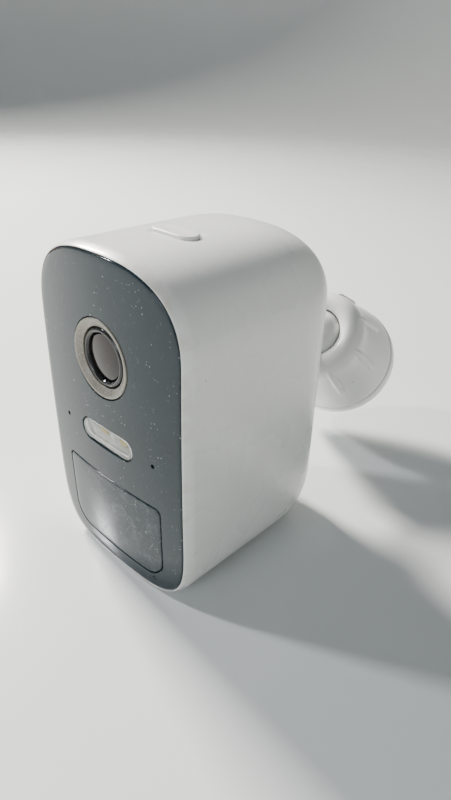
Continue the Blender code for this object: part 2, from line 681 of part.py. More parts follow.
def make_stud():
    """Make the brass insert, the stud screwed into it, its washer and the ball."""
    insert = [
        (STUD_RADIUS + GAP, DEPTH - 12), (INSERT_RADIUS, DEPTH - 12), (INSERT_RADIUS, DEPTH - 0.2),
        (STUD_RADIUS + 0.8, DEPTH - 0.2), (STUD_RADIUS + GAP, DEPTH - 0.7),
    ]
    store("mount_insert", turned_back(insert, 0, INSERT_Z, 32), BRASS, line_origin(INSERT_Z))
    washer = turned_back(tube(7.5, STUD_RADIUS + GAP, DEPTH + GAP, DEPTH + 1.3), 0, INSERT_Z, 32)
    store("stud_washer", washer, RUBBER, line_origin(INSERT_Z))
    pivot = (0, FRONT_Y + BALL_DEPTH, INSERT_Z)
    flange = DEPTH + 1.3 + GAP
    stud = [
        (0, DEPTH - 9), (STUD_RADIUS - 0.6, DEPTH - 9), (STUD_RADIUS, DEPTH - 8.4),
        (STUD_RADIUS, flange), (7.2, flange), (7.8, flange + 0.6), (7.8, flange + 2.4),
        (7.2, flange + 3.0), (4.2, flange + 3.4), (NECK_RADIUS, flange + 5.0),
        (NECK_RADIUS, BALL_DEPTH + 2), (0, BALL_DEPTH + 2),
    ]
    store("stud_screw", turned_back(stud, 0, INSERT_Z, 32), STEEL, pivot)
    bore_radius = NECK_RADIUS + GAP
    bore_edge = math.asin(bore_radius / BALL_RADIUS)
    rings = 14
    sphere = [(bore_radius, 2.4)]
    for step in range(rings + 1):
        angle = bore_edge + (math.pi - bore_edge) * step / rings
        sphere.append((BALL_RADIUS * math.sin(angle), -BALL_RADIUS * math.cos(angle)))
    sphere[-1] = (0, BALL_RADIUS)
    sphere = [(0, 2.4)] + sphere
    ball = turned_back([(radius, BALL_DEPTH + height) for radius, height in sphere], 0, INSERT_Z, 32)
    store("ball", ball, WHITE, pivot)


def mount_axis():
    """Return the unit vector from the ball centre to the wall."""
    return Vector((
        math.sin(MOUNT_YAW),
        math.cos(MOUNT_YAW) * math.cos(MOUNT_PITCH),
        -math.cos(MOUNT_YAW) * math.sin(MOUNT_PITCH),
    ))


def make_wall_mount():
    """Make the seat, base, clamp ring and collar about the ball, on a tilted empty."""
    carrier = bpy.data.objects.new("mount_axis", None)
    carrier.location = Vector((0, FRONT_Y + BALL_DEPTH, INSERT_Z)) * MM
    carrier.rotation_mode = "QUATERNION"
    carrier.rotation_quaternion = Vector((0, 0, 1)).rotation_difference(mount_axis())
    bpy.context.scene.collection.objects.link(carrier)

    rim_height, steps = 2.9, 7
    inner, outer = BALL_RADIUS + GAP, BALL_RADIUS + 2.3
    bowl = bowl_points(inner, rim_height, steps) + bowl_points(outer, rim_height, steps)[::-1]
    store("ball_seat", turned(bowl, 32), GREY_RUBBER, parent=carrier)

    cup = bowl_points(outer + GAP, 2.6, steps)
    base = cup + [
        (POST_OUTER - 0.4, 2.6), (POST_OUTER, 3.0), (POST_OUTER, BASE_FRONT),
        (BASE_RADIUS - 0.7, BASE_FRONT), (BASE_RADIUS - 0.1, BASE_FRONT + 0.5),
        (BASE_RADIUS, BASE_FRONT + 1.2), (BASE_RADIUS, BASE_BACK - 0.8),
        (BASE_RADIUS - 0.6, BASE_BACK), (7.0, BASE_BACK), (7.0, 15.0), (0, 15.0),
    ]
    screw_holes = []
    for index in range(3):
        angle = math.pi / 6 + index * math.tau / 3
        place = (SCREW_CIRCLE * math.cos(angle), SCREW_CIRCLE * math.sin(angle), 0)
        hole = turned(rod(SCREW_HOLE, BASE_FRONT - 1, BASE_BACK + 1), 16)
        screw_holes.append(facing(hole, place, (0, 0, 1)))
    store("wall_base", cut(turned(base), *screw_holes), WHITE, parent=carrier)

    ring = [(9.55, -1.9), (12.3, -0.85), (13.5, 0.75), (13.5, 2.0), (9.75, 2.0), (9.72, 0.0)]
    store("clamp_ring", turned(ring, 32), BLACK, parent=carrier)

    collar = [
        (8.75, -3.9), (9.1, -4.9), (10.0, -5.6), (11.5, -5.75), (13.2, -5.1), (14.8, -3.6),
        (15.9, -1.4), (16.5, 1.4), (16.95, 4.6), (18.5, 11.5), (19.9, 17.5), (21.1, 23.0),
        (21.4, 25.2), (21.2, 25.6), (20.0, 25.6), (19.3, 21.0), (18.0, 16.5), (13.9, 15.5),
        (13.9, 0.4), (12.6, -1.2), (9.6, -2.7),
    ]
    grip = [(15.0, -2.8), (15.8, -2.9), (17.3, 1.0), (17.85, 4.6), (20.15, 14.6), (18.2, 14.6)]
    grips = []
    for index in range(GRIP_COUNT):
        rib = extruded([(radius, -GRIP_WIDTH / 2, height) for radius, height in grip], (0, GRIP_WIDTH, 0))
        turn = Matrix.Rotation(GRIP_START + index * math.tau / GRIP_COUNT, 3, "Z")
        bmesh.ops.rotate(rib, cent=(0, 0, 0), matrix=turn, verts=rib.verts)
        grips.append(rib)
    store("lock_collar", join(turned(collar), *grips), WHITE, parent=carrier)


def bowl_points(radius, rim_height, steps):
    """Return a bowl's profile from the rim down to the axis, or from the axis up to the rim."""
    rim = math.acos(rim_height / radius)
    points = [(radius * math.sin(rim * step / steps), radius * math.cos(rim * step / steps))
              for step in range(steps + 1)]
    points[0] = (0, radius)
    return points


def main():
    """Clear the scene and make every sub-part."""
    for item in list(bpy.data.objects):
        bpy.data.objects.remove(item, do_unlink=True)
    make_main_shell()
    make_front_panel()
    make_lens_module()
    make_lights()
    make_sensors()
    make_chassis()
    make_battery()
    make_speaker()
    make_sync_button()
    make_charging_port()
    make_stud()
    make_wall_mount()


main()
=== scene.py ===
"""Visual model of a battery outdoor camera on a ball-joint wall mount.

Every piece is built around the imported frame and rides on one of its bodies. Sizes
in the classes are in millimetres, and MM turns them to metres as a mesh is stored.
X runs across the housing, Y from the lens panel back to the wall, and Z is up.
A depth is measured back from the middle of the lens panel.
"""

import json
import logging
import math
from dataclasses import dataclass, field
from enum import Enum
from typing import Callable, Iterable, Optional, Protocol, Sequence, Union

import bmesh
import bpy
from mathutils import Matrix, Vector


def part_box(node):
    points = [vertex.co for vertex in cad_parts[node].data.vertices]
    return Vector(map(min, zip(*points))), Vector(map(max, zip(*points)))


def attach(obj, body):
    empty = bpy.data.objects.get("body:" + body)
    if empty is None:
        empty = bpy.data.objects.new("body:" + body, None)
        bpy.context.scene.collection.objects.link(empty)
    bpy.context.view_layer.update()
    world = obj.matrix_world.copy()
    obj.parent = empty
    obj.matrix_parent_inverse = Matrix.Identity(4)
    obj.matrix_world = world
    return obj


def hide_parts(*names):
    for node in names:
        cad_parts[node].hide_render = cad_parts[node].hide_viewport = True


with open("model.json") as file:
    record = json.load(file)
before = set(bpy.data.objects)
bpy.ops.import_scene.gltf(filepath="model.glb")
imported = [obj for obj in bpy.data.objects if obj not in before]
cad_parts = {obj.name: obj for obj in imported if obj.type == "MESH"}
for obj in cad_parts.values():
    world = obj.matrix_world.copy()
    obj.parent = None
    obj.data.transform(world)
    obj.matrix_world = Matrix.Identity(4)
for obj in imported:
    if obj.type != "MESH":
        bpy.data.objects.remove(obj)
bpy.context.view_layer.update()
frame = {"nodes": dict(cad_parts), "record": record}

LOG = logging.getLogger("camera")
MM = 0.001  # a millimetre in metres
GAP = 0.3  # the clearance between two fitted pieces, in millimetres
FRONT_Y = -30.0  # where the middle of the lens panel lies along Y, in millimetres
MERGE = 0.0005  # points closer than this are one, in the body's own unit
CLOUD_LOW, CLOUD_HIGH = 0.26, 0.74  # the span of a noise texture's own values
BACKWARDS = Vector((0, 1, 0))
UPWARDS = Vector((0, 0, 1))
MIX_BELOW, MIX_ABOVE, MIX_OUT = 6, 7, 2  # a colour mix's two inputs and its output, by number

Point = tuple[float, float]
Ring = list[Vector]
Key = Union[int, str]
Socket = bpy.types.NodeSocket


class Slot(Enum):
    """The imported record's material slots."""

    WHITE = "white"
    GLOSS_BLACK = "gloss_black"
    TRIM_GREY = "trim_grey"
    BLACK_PLASTIC = "black_plastic"
    LENS_GLASS = "lens_glass"
    FROSTED = "frosted"
    PHOSPHOR = "phosphor"
    RUBBER = "rubber"
    GREY_RUBBER = "grey_rubber"
    STEEL = "steel"


class Cut(Enum):
    """How tool shapes act on a body."""

    AWAY = "DIFFERENCE"
    ON = "UNION"


# ---------------------------------------------------------------- surfaces


def srgb(code: str) -> tuple[float, float, float, float]:
    """Turn an sRGB hex colour into linear light.

    Args:
        code: The colour as #RRGGBB.

    Returns:
        Linear red, green, blue and an alpha of 1.
    """
    channels = [int(code[start:start + 2], 16) / 255 for start in (1, 3, 5)]
    linear = [c / 12.92 if c <= 0.04045 else ((c + 0.055) / 1.055) ** 2.4 for c in channels]
    return (*linear, 1.0)


def add_node(
    tree: bpy.types.NodeTree,
    kind: str,
    settings: Optional[dict[Key, object]] = None,
    links: Optional[dict[Key, Socket]] = None,
) -> bpy.types.Node:
    """Add one node with its settings and links.

    Args:
        tree: The node tree that gets the node.
        kind: The node's type name.
        settings: Values of the node's properties, or of its inputs by name or number.
        links: Outputs of other nodes, by the name or number of the input they feed.

    Returns:
        The new node.
    """
    node = tree.nodes.new(kind)
    for key, value in (settings or {}).items():
        if isinstance(key, str) and hasattr(node, key):
            setattr(node, key, value)
        else:
            node.inputs[key].default_value = value
    for key, source in (links or {}).items():
        tree.links.new(source, node.inputs[key])
    return node


class Surface:
    """A material in the making: a base finish that patterns are laid over.

    Pattern sizes are in millimetres on the object, through its Object coordinates.
    """

    def __init__(self, name: str, colour: str, roughness: float,
                 shader: Optional[dict[str, float]] = None) -> None:
        """Start a material from one plain finish.

        Args:
            name: The material's name.
            colour: The base colour as #RRGGBB.
            roughness: The base roughness.
            shader: Other values of the shader's own sockets.
        """
        self.material = bpy.data.materials.new(name)
        self.material.use_nodes = True
        self.tree = self.material.node_tree
        self.shader = self.tree.nodes["Principled BSDF"]
        self.shader.inputs["Base Color"].default_value = srgb(colour)
        self.shader.inputs["Roughness"].default_value = roughness
        for socket, value in (shader or {}).items():
            self.shader.inputs[socket].default_value = value
        self.place = add_node(self.tree, "ShaderNodeTexCoord").outputs["Object"]
        self.painted: Optional[Socket] = None
        self.relief: Optional[Socket] = None

    def moved(self, turn: Sequence[float] = (0, 0, 0), stretch: Sequence[float] = (1, 1, 1),
              shift: Sequence[float] = (0, 0, 0)) -> Socket:
        """Move a pattern over the object.

        Args:
            turn: How it is turned about X, Y and Z, in degrees.
            stretch: How it is drawn out along its own axes, before the turn.
            shift: How far it is moved, in millimetres.

        Returns:
            The coordinates that the pattern reads.
        """
        settings = {
            "vector_type": "TEXTURE",
            "Rotation": [math.radians(angle) for angle in turn],
            "Scale": stretch,
            "Location": [distance * MM for distance in shift],
        }
        return add_node(self.tree, "ShaderNodeMapping", settings, {"Vector": self.place}).outputs[0]

    def mottle(self, size: float, low: float, high: float, detail: float = 3.0,
               shift: float = 0.0) -> Socket:
        """Draw a cloudy value.

        Args:
            size: The size of the clouds, in millimetres.
            low: The value between the clouds.
            high: The value in their middle.
            detail: How many finer layers break them up.
            shift: Moves the pattern, so that two layers differ.

        Returns:
            The value's output.
        """
        cloud = add_node(
            self.tree, "ShaderNodeTexNoise", {"Scale": 1 / (size * MM), "Detail": detail},
            {"Vector": self.moved(shift=(shift, 2 * shift, -shift))},
        )
        spread = {"interpolation_type": "SMOOTHSTEP", "From Min": CLOUD_LOW, "From Max": CLOUD_HIGH,
                  "To Min": low, "To Max": high}
        return add_node(
            self.tree, "ShaderNodeMapRange", spread, {"Value": cloud.outputs[0]}).outputs[0]

    def specks(self, spacing: float, radius: float, share: float, shift: float = 0.0) -> Socket:
        """Return a mask of scattered round specks.

        Args:
            spacing: Distance between the places that may hold a speck, in millimetres.
            radius: Radius of the largest speck, in millimetres.
            share: Share of those places that hold one.
            shift: Moves the pattern, so that two layers differ.

        Returns:
            An output that is 1 on a speck.
        """
        cells = add_node(
            self.tree, "ShaderNodeTexVoronoi", {"Scale": 1 / (spacing * MM)},
            {"Vector": self.moved(shift=(shift, shift, shift))},
        )
        luck = add_node(self.tree, "ShaderNodeSeparateColor", links={0: cells.outputs["Color"]})
        size = add_node(
            self.tree, "ShaderNodeMath", {"operation": "MULTIPLY", 1: radius / spacing},
            {0: luck.outputs[1]})
        edge = add_node(
            self.tree, "ShaderNodeMath", {"operation": "DIVIDE"},
            {0: cells.outputs["Distance"], 1: size.outputs[0]})
        dot = add_node(
            self.tree, "ShaderNodeMapRange",
            {"From Min": 0.6, "From Max": 1.0, "To Min": 1.0, "To Max": 0.0},
            {"Value": edge.outputs[0]})
        held = add_node(
            self.tree, "ShaderNodeMath", {"operation": "LESS_THAN", 1: share}, {0: luck.outputs[0]})
        return add_node(
            self.tree, "ShaderNodeMath", {"operation": "MULTIPLY"},
            {0: dot.outputs[0], 1: held.outputs[0]}).outputs[0]

    def hairs(self, width: float, length: float, turn: Sequence[float],
              share: float = 0.5) -> Socket:
        """Return a mask of fine straight marks.

        Args:
            width: Width of the marks, in millimetres.
            length: Length of the marks, in millimetres.
            turn: How their direction is turned from Z, in degrees.
            share: 0 for hardly any marks, 1 for marks all over.

        Returns:
            An output that is 1 on a mark.
        """
        drawn = self.moved(turn=turn, stretch=(1, 1, length / width), shift=(turn[1], 0, 0))
        grain = add_node(
            self.tree, "ShaderNodeTexNoise", {"Scale": 1 / (2 * width * MM), "Detail": 1.0},
            {"Vector": drawn})
        start = 0.78 - 0.16 * share
        return add_node(
            self.tree, "ShaderNodeMapRange", {"From Min": start, "From Max": start + 0.06},
            {"Value": grain.outputs[0]}).outputs[0]

    def near(self, axis: int, full: float, none: float) -> Socket:
        """Draw a value that fades along an axis.

        Args:
            axis: 0, 1 or 2 for X, Y or Z.
            full: Where it is 1, in millimetres.
            none: Where it is 0, in millimetres.

        Returns:
            The value's output.
        """
        parts = add_node(self.tree, "ShaderNodeSeparateXYZ", links={0: self.place})
        span = {"From Min": full * MM, "From Max": none * MM, "To Min": 1.0, "To Max": 0.0}
        return add_node(
            self.tree, "ShaderNodeMapRange", span, {"Value": parts.outputs[axis]}).outputs[0]

    def both(self, first: Socket, second: Socket) -> Socket:
        """Return the product of two masks."""
        return add_node(
            self.tree, "ShaderNodeMath", {"operation": "MULTIPLY", "use_clamp": True},
            {0: first, 1: second}).outputs[0]

    def faded(self, mask: Socket, strength: float) -> Socket:
        """Return a mask at part of its strength."""
        return add_node(
            self.tree, "ShaderNodeMath", {"operation": "MULTIPLY", 1: strength},
            {0: mask}).outputs[0]

    def paint(self, mask: Socket, colour: str) -> None:
        """Lay a colour over the surface.

        Args:
            mask: Where and how strongly it lies.
            colour: The colour as #RRGGBB.
        """
        base = self.shader.inputs["Base Color"]
        layer = add_node(
            self.tree, "ShaderNodeMix",
            {"data_type": "RGBA", MIX_BELOW: base.default_value[:], MIX_ABOVE: srgb(colour)},
            {0: mask})
        if self.painted is not None:
            self.tree.links.new(self.painted, layer.inputs[MIX_BELOW])
        self.painted = layer.outputs[MIX_OUT]
        self.tree.links.new(self.painted, base)

    def roughen(self, value: Socket) -> None:
        """Take the roughness from a value."""
        self.tree.links.new(value, self.shader.inputs["Roughness"])

    def emboss(self, height: Socket, depth: float, strength: float = 1.0) -> None:
        """Raise the surface by a pattern.

        Args:
            height: The pattern.
            depth: How tall it is, in millimetres; less than 0 presses it in.
            strength: How much of it the shading shows.
        """
        links = {"Height": height}
        if self.relief is not None:
            links["Normal"] = self.relief
        bump = add_node(
            self.tree, "ShaderNodeBump", {"Strength": strength, "Distance": depth * MM}, links)
        self.relief = bump.outputs[0]
        self.tree.links.new(self.relief, self.shader.inputs["Normal"])


@dataclass(frozen=True)
class MouldedShell:
    """Satin injection-moulded ABS and polycarbonate, cool white.

    It gives the eye a soft sheen over a faint orange-peel skin, a little yellowing
    in clouds, dust specks, and a brown film that settles along the front edge.
    """

    name: str
    colour: str = "#E4E6E4"
    roughness: float = 0.27
    dust: float = 0.16
    film_from: Optional[float] = None

    def build(self) -> bpy.types.Material:
        """Build the material.

        Returns:
            The finished material.
        """
        skin = Surface(self.name, self.colour, self.roughness,
                       {"IOR": 1.52, "Coat Weight": 0.25, "Coat Roughness": 0.10,
                        "Subsurface Weight": 0.04, "Subsurface Scale": 0.002})
        skin.paint(skin.mottle(30.0, 0.0, 0.35, 1.5), "#DEDDD7")
        skin.paint(skin.mottle(14.0, 0.0, 0.25, 2.0, 7.0), "#DBDEDE")
        if self.film_from is not None:
            film = skin.both(skin.near(1, self.film_from, self.film_from + 5.0),
                             skin.mottle(6.0, -0.5, 0.5, 6.0, 3.0))
            skin.paint(film, "#B9A887")
        skin.paint(skin.faded(skin.specks(7.0, 0.42, self.dust), 0.75), "#5C564D")
        skin.paint(skin.faded(skin.specks(2.6, 0.22, self.dust, 11.0), 0.55), "#8C8171")
        skin.paint(skin.faded(skin.specks(13.0, 0.85, self.dust * 0.8, 29.0), 0.35), "#B39E8C")
        skin.roughen(skin.mottle(14.0, self.roughness - 0.02, self.roughness + 0.04, 2.0))
        # Moulded orange peel is about 0.3 mm; it is drawn at 0.9 mm so that it shows.
        skin.emboss(skin.mottle(0.9, 0.0, 1.0, 2.0), 0.010, 0.35)
        return skin.material


@dataclass(frozen=True)
class GlossPanel:
    """Polished smoked acrylic, near black with a slate cast.

    It gives the eye a sharp mirror of the room, broken by dust, hair scratches and
    wiped smears that scatter the highlight.
    """

    name: str
    colour: str = "#17252B"
    scratch: float = 0.15
    haze: float = 0.0

    def build(self) -> bpy.types.Material:
        """Build the material.

        Returns:
            The finished material.
        """
        gloss = Surface(self.name, self.colour, 0.07, {"IOR": 1.46, "Specular IOR Level": 0.42})
        gloss.paint(gloss.mottle(14.0, 0.0, 0.5, 4.0), "#202F36")
        if self.haze:
            gloss.paint(gloss.mottle(3.0, -self.haze, self.haze, 8.0, 5.0), "#6E777B")
        marks = [
            gloss.hairs(0.10, 6.0, (0, 28, 0), self.scratch),
            gloss.hairs(0.10, 4.0, (0, -58, 0), self.scratch),
            gloss.hairs(0.12, 3.0, (0, 81, 0), self.scratch * 0.7),
        ]
        for mark in marks:
            gloss.paint(gloss.faded(mark, 0.45), "#8E979B")
        drift = gloss.mottle(11.0, -0.1, 1.0, 2.0, 31.0)
        gloss.paint(gloss.both(gloss.specks(0.9, 0.22, 0.40), drift), "#A9AEAC")
        gloss.paint(gloss.faded(gloss.specks(1.8, 0.26, 0.22, 5.0), 0.80), "#B4B8B6")
        gloss.paint(gloss.faded(gloss.specks(3.4, 0.42, 0.20, 17.0), 0.60), "#8F928F")
        gloss.roughen(gloss.mottle(8.0, 0.05, 0.12 + self.haze * 0.3, 6.0, 9.0))
        gloss.emboss(marks[0], -0.012, 0.6)
        gloss.emboss(gloss.mottle(0.9, 0.0, 1.0, 2.0), 0.002 + 0.02 * self.haze, 0.3)
        return gloss.material


@dataclass(frozen=True)
class BlastedTrim:
    """Warm grey paint over a blasted ring, with a metallic fleck.

    It gives the eye a broad dull sheen that sparkles a little as grains catch light.
    """

    name: str = "blasted_trim_paint"

    def build(self) -> bpy.types.Material:
        """Build the material.

        Returns:
            The finished material.
        """
        ring = Surface(self.name, "#827E74", 0.42, {"Metallic": 0.35, "Coat Weight": 0.15})
        ring.paint(ring.specks(0.42, 0.20, 0.45), "#B9B2A4")
        ring.paint(ring.specks(0.50, 0.24, 0.40, 5.0), "#57534B")
        ring.roughen(ring.mottle(0.7, 0.30, 0.55, 3.0))
        # The blasting grit is about 0.15 mm; it is drawn at 0.5 mm so that it shows.
        ring.emboss(ring.mottle(0.5, 0.0, 1.0, 3.0), 0.02, 0.6)
        return ring.material


@dataclass(frozen=True)
class PlainPlastic:
    """Moulded engineering plastic with a fine spark-eroded texture.

    It gives the eye an even skin, a soft highlight and a slight change of gloss.
    """

    name: str
    colour: str
    roughness: float
    grain: float = 0.6

    def build(self) -> bpy.types.Material:
        """Build the material.

        Returns:
            The finished material.
        """
        skin = Surface(self.name, self.colour, self.roughness, {"IOR": 1.5})
        skin.paint(skin.mottle(5.0, 0.0, 0.25), "#4A4D4E")
        skin.paint(skin.faded(skin.specks(2.4, 0.14, 0.10), 0.5), "#A5A6A2")
        skin.roughen(skin.mottle(2.0, self.roughness * 0.8, self.roughness * 1.25, 4.0))
        skin.emboss(skin.mottle(self.grain, 0.0, 1.0, 2.0), 0.008, 0.5)
        return skin.material


@dataclass(frozen=True)
class ShadePaintedGlass:
    """Polished, coated lens glass before an unlit barrel, with hardly any dust.

    It gives the eye a sharp mirror over a brown-black base colour, which is painted shade:
    the barrel behind it holds no light, so the glass is drawn opaque and as dark as that
    depth and needs no transmission. Its lower part is painted darker still, so that its
    upper part reads as a painted brown reflection.
    """

    name: str = "lens_glass_painted_shade"

    def build(self) -> bpy.types.Material:
        """Build the material.

        Returns:
            The finished material.
        """
        # The dark base colour is painted shade: the unlit barrel as seen through the glass.
        glass = Surface(self.name, "#1F1512", 0.03, {"IOR": 1.42})
        # Painted shade on the lower part of the glass, so that its lighter upper part reads as a
        # painted brown reflection.
        glass.paint(glass.near(2, 60.5, 71.0), "#120B0A")
        glass.paint(glass.faded(glass.specks(1.5, 0.20, 0.16), 0.6), "#8E867A")
        glass.roughen(glass.mottle(3.0, 0.02, 0.06))
        return glass.material


@dataclass(frozen=True)
class Diffuser:
    """Clear polycarbonate with a bead-frosted inner face.

    It gives the eye a milky window that the emitters glow through softly.
    """

    name: str = "frosted_polycarbonate"

    def build(self) -> bpy.types.Material:
        """Build the material.

        Returns:
            The finished material.
        """
        window = Surface(self.name, "#F3F5F3", 0.08, {"IOR": 1.49, "Transmission Weight": 0.94})
        window.paint(window.mottle(2.5, 0.0, 0.4), "#E3E7E4")
        window.paint(window.faded(window.specks(1.7, 0.20, 0.15), 0.6), "#8D8C86")
        window.roughen(window.mottle(0.6, 0.05, 0.11, 2.0))
        return window.material


@dataclass(frozen=True)
class Phosphor:
    """Silicone filled with yellow phosphor over a blue emitter, matte and grainy."""

    name: str = "led_phosphor"

    def build(self) -> bpy.types.Material:
        """Build the material.

        Returns:
            The finished material.
        """
        gel = Surface(self.name, "#EBC000", 0.42, {"IOR": 1.42})
        gel.paint(gel.mottle(0.5, 0.0, 0.6), "#F2D02A")
        gel.emboss(gel.mottle(0.35, 0.0, 1.0, 2.0), 0.02, 0.5)
        return gel.material


@dataclass(frozen=True)
class SoftRubber:
    """Moulded elastomer with a matt skin that holds a little pale dust."""

    name: str
    colour: str
    dust_colour: str

    def build(self) -> bpy.types.Material:
        """Build the material.

        Returns:
            The finished material.
        """
        rubber = Surface(self.name, self.colour, 0.72, {"IOR": 1.52, "Sheen Weight": 0.08})
        rubber.paint(rubber.mottle(3.0, 0.0, 0.35, 5.0), self.dust_colour)
        rubber.paint(rubber.faded(rubber.specks(1.8, 0.14, 0.2), 0.6), self.dust_colour)
        rubber.roughen(rubber.mottle(1.5, 0.62, 0.85))
        rubber.emboss(rubber.mottle(0.5, 0.0, 1.0, 3.0), 0.02, 0.5)
        return rubber.material


@dataclass(frozen=True)
class SolderMask:
    """Glass-epoxy board under green solder mask, with tinned pads and faint traces."""

    name: str = "solder_mask_board"

    def build(self) -> bpy.types.Material:
        """Build the material.

        Returns:
            The finished material.
        """
        board = Surface(self.name, "#0E4A2A", 0.34, {"IOR": 1.55, "Coat Weight": 0.3})
        traces = board.hairs(0.3, 9.0, (0, 0, 0), 1.0)
        board.paint(board.faded(traces, 0.6), "#1F6B3F")
        board.paint(board.specks(2.2, 0.55, 0.30), "#B9BCBE")
        board.emboss(traces, 0.03, 0.6)
        return board.material


class Working(Enum):
    """How a metal's surface was worked: the stretch and spacing of its marks."""

    PLATED = (1.0, 0.8)
    TURNED = (16.0, 0.25)


@dataclass(frozen=True)
class WorkedMetal:
    """Bare or plated metal that shows the marks of its working.

    It gives the eye a bright narrow highlight, drawn out across fine tool marks.
    """

    name: str
    colour: str
    roughness: float
    working: Working

    def build(self) -> bpy.types.Material:
        """Build the material.

        Returns:
            The finished material.
        """
        stretch, spacing = self.working.value
        metal = Surface(self.name, self.colour, self.roughness, {"Metallic": 1.0})
        metal.paint(metal.mottle(2.2, 0.0, 0.3), "#7C7871")
        marks = add_node(
            metal.tree, "ShaderNodeTexNoise", {"Scale": 1 / (spacing * MM), "Detail": 2.0},
            {"Vector": metal.moved(stretch=(stretch, 1, stretch))}).outputs[0]
        metal.roughen(metal.mottle(1.2, self.roughness * 0.75, self.roughness * 1.4, 4.0))
        metal.emboss(marks, 0.01, 0.5)
        return metal.material


@dataclass(frozen=True)
class ShrinkWrap:
    """Blue heat-shrunk film over a cell, glossy with faint wrinkles."""

    name: str = "cell_shrink_wrap"

    def build(self) -> bpy.types.Material:
        """Build the material.

        Returns:
            The finished material.
        """
        film = Surface(self.name, "#1B4F8C", 0.30, {"Coat Weight": 0.4, "Coat Roughness": 0.12})
        film.paint(film.mottle(8.0, 0.0, 0.4), "#163F70")
        film.emboss(film.hairs(0.4, 12.0, (0, 0, 0), 1.0), 0.03, 0.5)
        return film.material


@dataclass(frozen=True)
class StudioFloor:
    """Pale lacquered table top: even, with a soft reflection."""

    name: str = "pale_lacquer"

    def build(self) -> bpy.types.Material:
        """Build the material.

        Returns:
            The finished material.
        """
        top = Surface(self.name, "#D9DDDD", 0.14, {"IOR": 1.42})
        top.paint(top.mottle(240.0, 0.0, 0.5), "#D6D9D8")
        top.roughen(top.mottle(60.0, 0.12, 0.17))
        return top.material


class Finish(Protocol):
    """A finish that can build its material."""

    def build(self) -> bpy.types.Material:
        """Return the finished material."""


def ready(finish: Finish) -> bpy.types.Material:
    """Return a dataclass field that holds a finish's material, built when it is first needed."""
    return field(default_factory=finish.build)


@dataclass
class Finishes:
    """Every finish of the camera, each built once."""

    shell: bpy.types.Material = ready(MouldedShell("moulded_shell_abs", film_from=FRONT_Y + 0.5))
    button: bpy.types.Material = ready(MouldedShell("moulded_button_abs", "#E9EAE7", 0.32, 0.06))
    mount: bpy.types.Material = ready(MouldedShell("moulded_mount_nylon", "#E7E8E5", 0.30, 0.08))
    reflector: bpy.types.Material = ready(MouldedShell("gloss_reflector_pc", "#F2F2EE", 0.18, 0.0))
    panel: bpy.types.Material = ready(GlossPanel("polished_smoked_acrylic"))
    motion: bpy.types.Material = ready(GlossPanel("scuffed_smoked_polythene", "#19262C", 0.5, 0.20))
    trim: bpy.types.Material = ready(BlastedTrim())
    barrel: bpy.types.Material = ready(PlainPlastic("gloss_barrel_pc", "#0C0D0E", 0.12))
    black: bpy.types.Material = ready(PlainPlastic("textured_black_abs", "#141516", 0.45))
    glass: bpy.types.Material = ready(ShadePaintedGlass())
    frosted: bpy.types.Material = ready(Diffuser())
    phosphor: bpy.types.Material = ready(Phosphor())
    rubber: bpy.types.Material = ready(SoftRubber("black_epdm_rubber", "#121314", "#3A3B3B"))
    grey_rubber: bpy.types.Material = ready(SoftRubber("pale_tpu_rubber", "#C9CBCA", "#A9A69E"))
    board: bpy.types.Material = ready(SolderMask())
    steel: bpy.types.Material = ready(
        WorkedMetal("zinc_plated_steel", "#B4B5B6", 0.28, Working.PLATED))
    turned_steel: bpy.types.Material = ready(
        WorkedMetal("turned_steel", "#C0C1C2", 0.24, Working.TURNED))
    brass: bpy.types.Material = ready(WorkedMetal("turned_brass", "#C79A4B", 0.26, Working.TURNED))
    wrap: bpy.types.Material = ready(ShrinkWrap())


# ---------------------------------------------------------------- shapes


def superarc(centre: Point, radii: Point, start: float, steps: int,
             power: float = 2.0) -> list[Point]:
    """Return a quarter of a superellipse.

    Args:
        centre: The quarter's centre.
        radii: Its two half widths.
        start: Its first angle, in radians.
        steps: How many pieces it is drawn in.
        power: 2 for an ellipse, more for a squarer corner.

    Returns:
        Its points, both ends included.
    """
    points = []
    for step in range(steps + 1):
        angle = start + step * math.pi / 2 / steps
        cosine, sine = math.cos(angle), math.sin(angle)
        points.append((
            centre[0] + radii[0] * math.copysign(abs(cosine) ** (2 / power), cosine),
            centre[1] + radii[1] * math.copysign(abs(sine) ** (2 / power), sine),
        ))
    return points


def filleted(corners: Iterable[Sequence[float]], steps: int = 4,
             looped: bool = True) -> list[Point]:
    """Return an outline with its corners eased.

    Args:
        corners: (across, along, ease) of each corner; ease is how far before and
            after the corner the curve starts and ends.
        steps: How many pieces each eased corner is drawn in.
        looped: Whether the outline closes on itself.

    Returns:
        The outline's points.
    """
    corners = [(Vector(corner[:2]), corner[2]) for corner in corners]
    points: list[Point] = []
    for index, (corner, ease) in enumerate(corners):
        before, after = corners[index - 1][0], corners[(index + 1) % len(corners)][0]
        end = not looped and index in (0, len(corners) - 1)
        if ease == 0 or end:
            points.append(tuple(corner))
            continue
        first = corner + (before - corner).normalized() * min(ease, (before - corner).length / 2)
        last = corner + (after - corner).normalized() * min(ease, (after - corner).length / 2)
        for step in range(steps + 1):
            share = step / steps
            points.append(tuple(
                (1 - share) ** 2 * first + 2 * share * (1 - share) * corner + share ** 2 * last))
    return points


def rounded(centre: Point, size: Point, low: float, high: Optional[float] = None,
            steps: int = 8) -> list[Point]:
    """Return a rectangle's outline with one radius below and one above.

    Args:
        centre: Its middle.
        size: Its width and height.
        low: The radius of the lower corners.
        high: The radius of the upper corners, if it differs.
        steps: How many pieces each corner is drawn in.

    Returns:
        The outline's points.
    """
    high = low if high is None else high
    outline: list[Point] = []
    corners = ((1, 1, high), (-1, 1, high), (-1, -1, low), (1, -1, low))
    for quarter, (side, end, radius) in enumerate(corners):
        corner = (centre[0] + side * (size[0] / 2 - radius),
                  centre[1] + end * (size[1] / 2 - radius))
        outline += superarc(corner, (radius, radius), quarter * math.pi / 2, steps)
    return outline


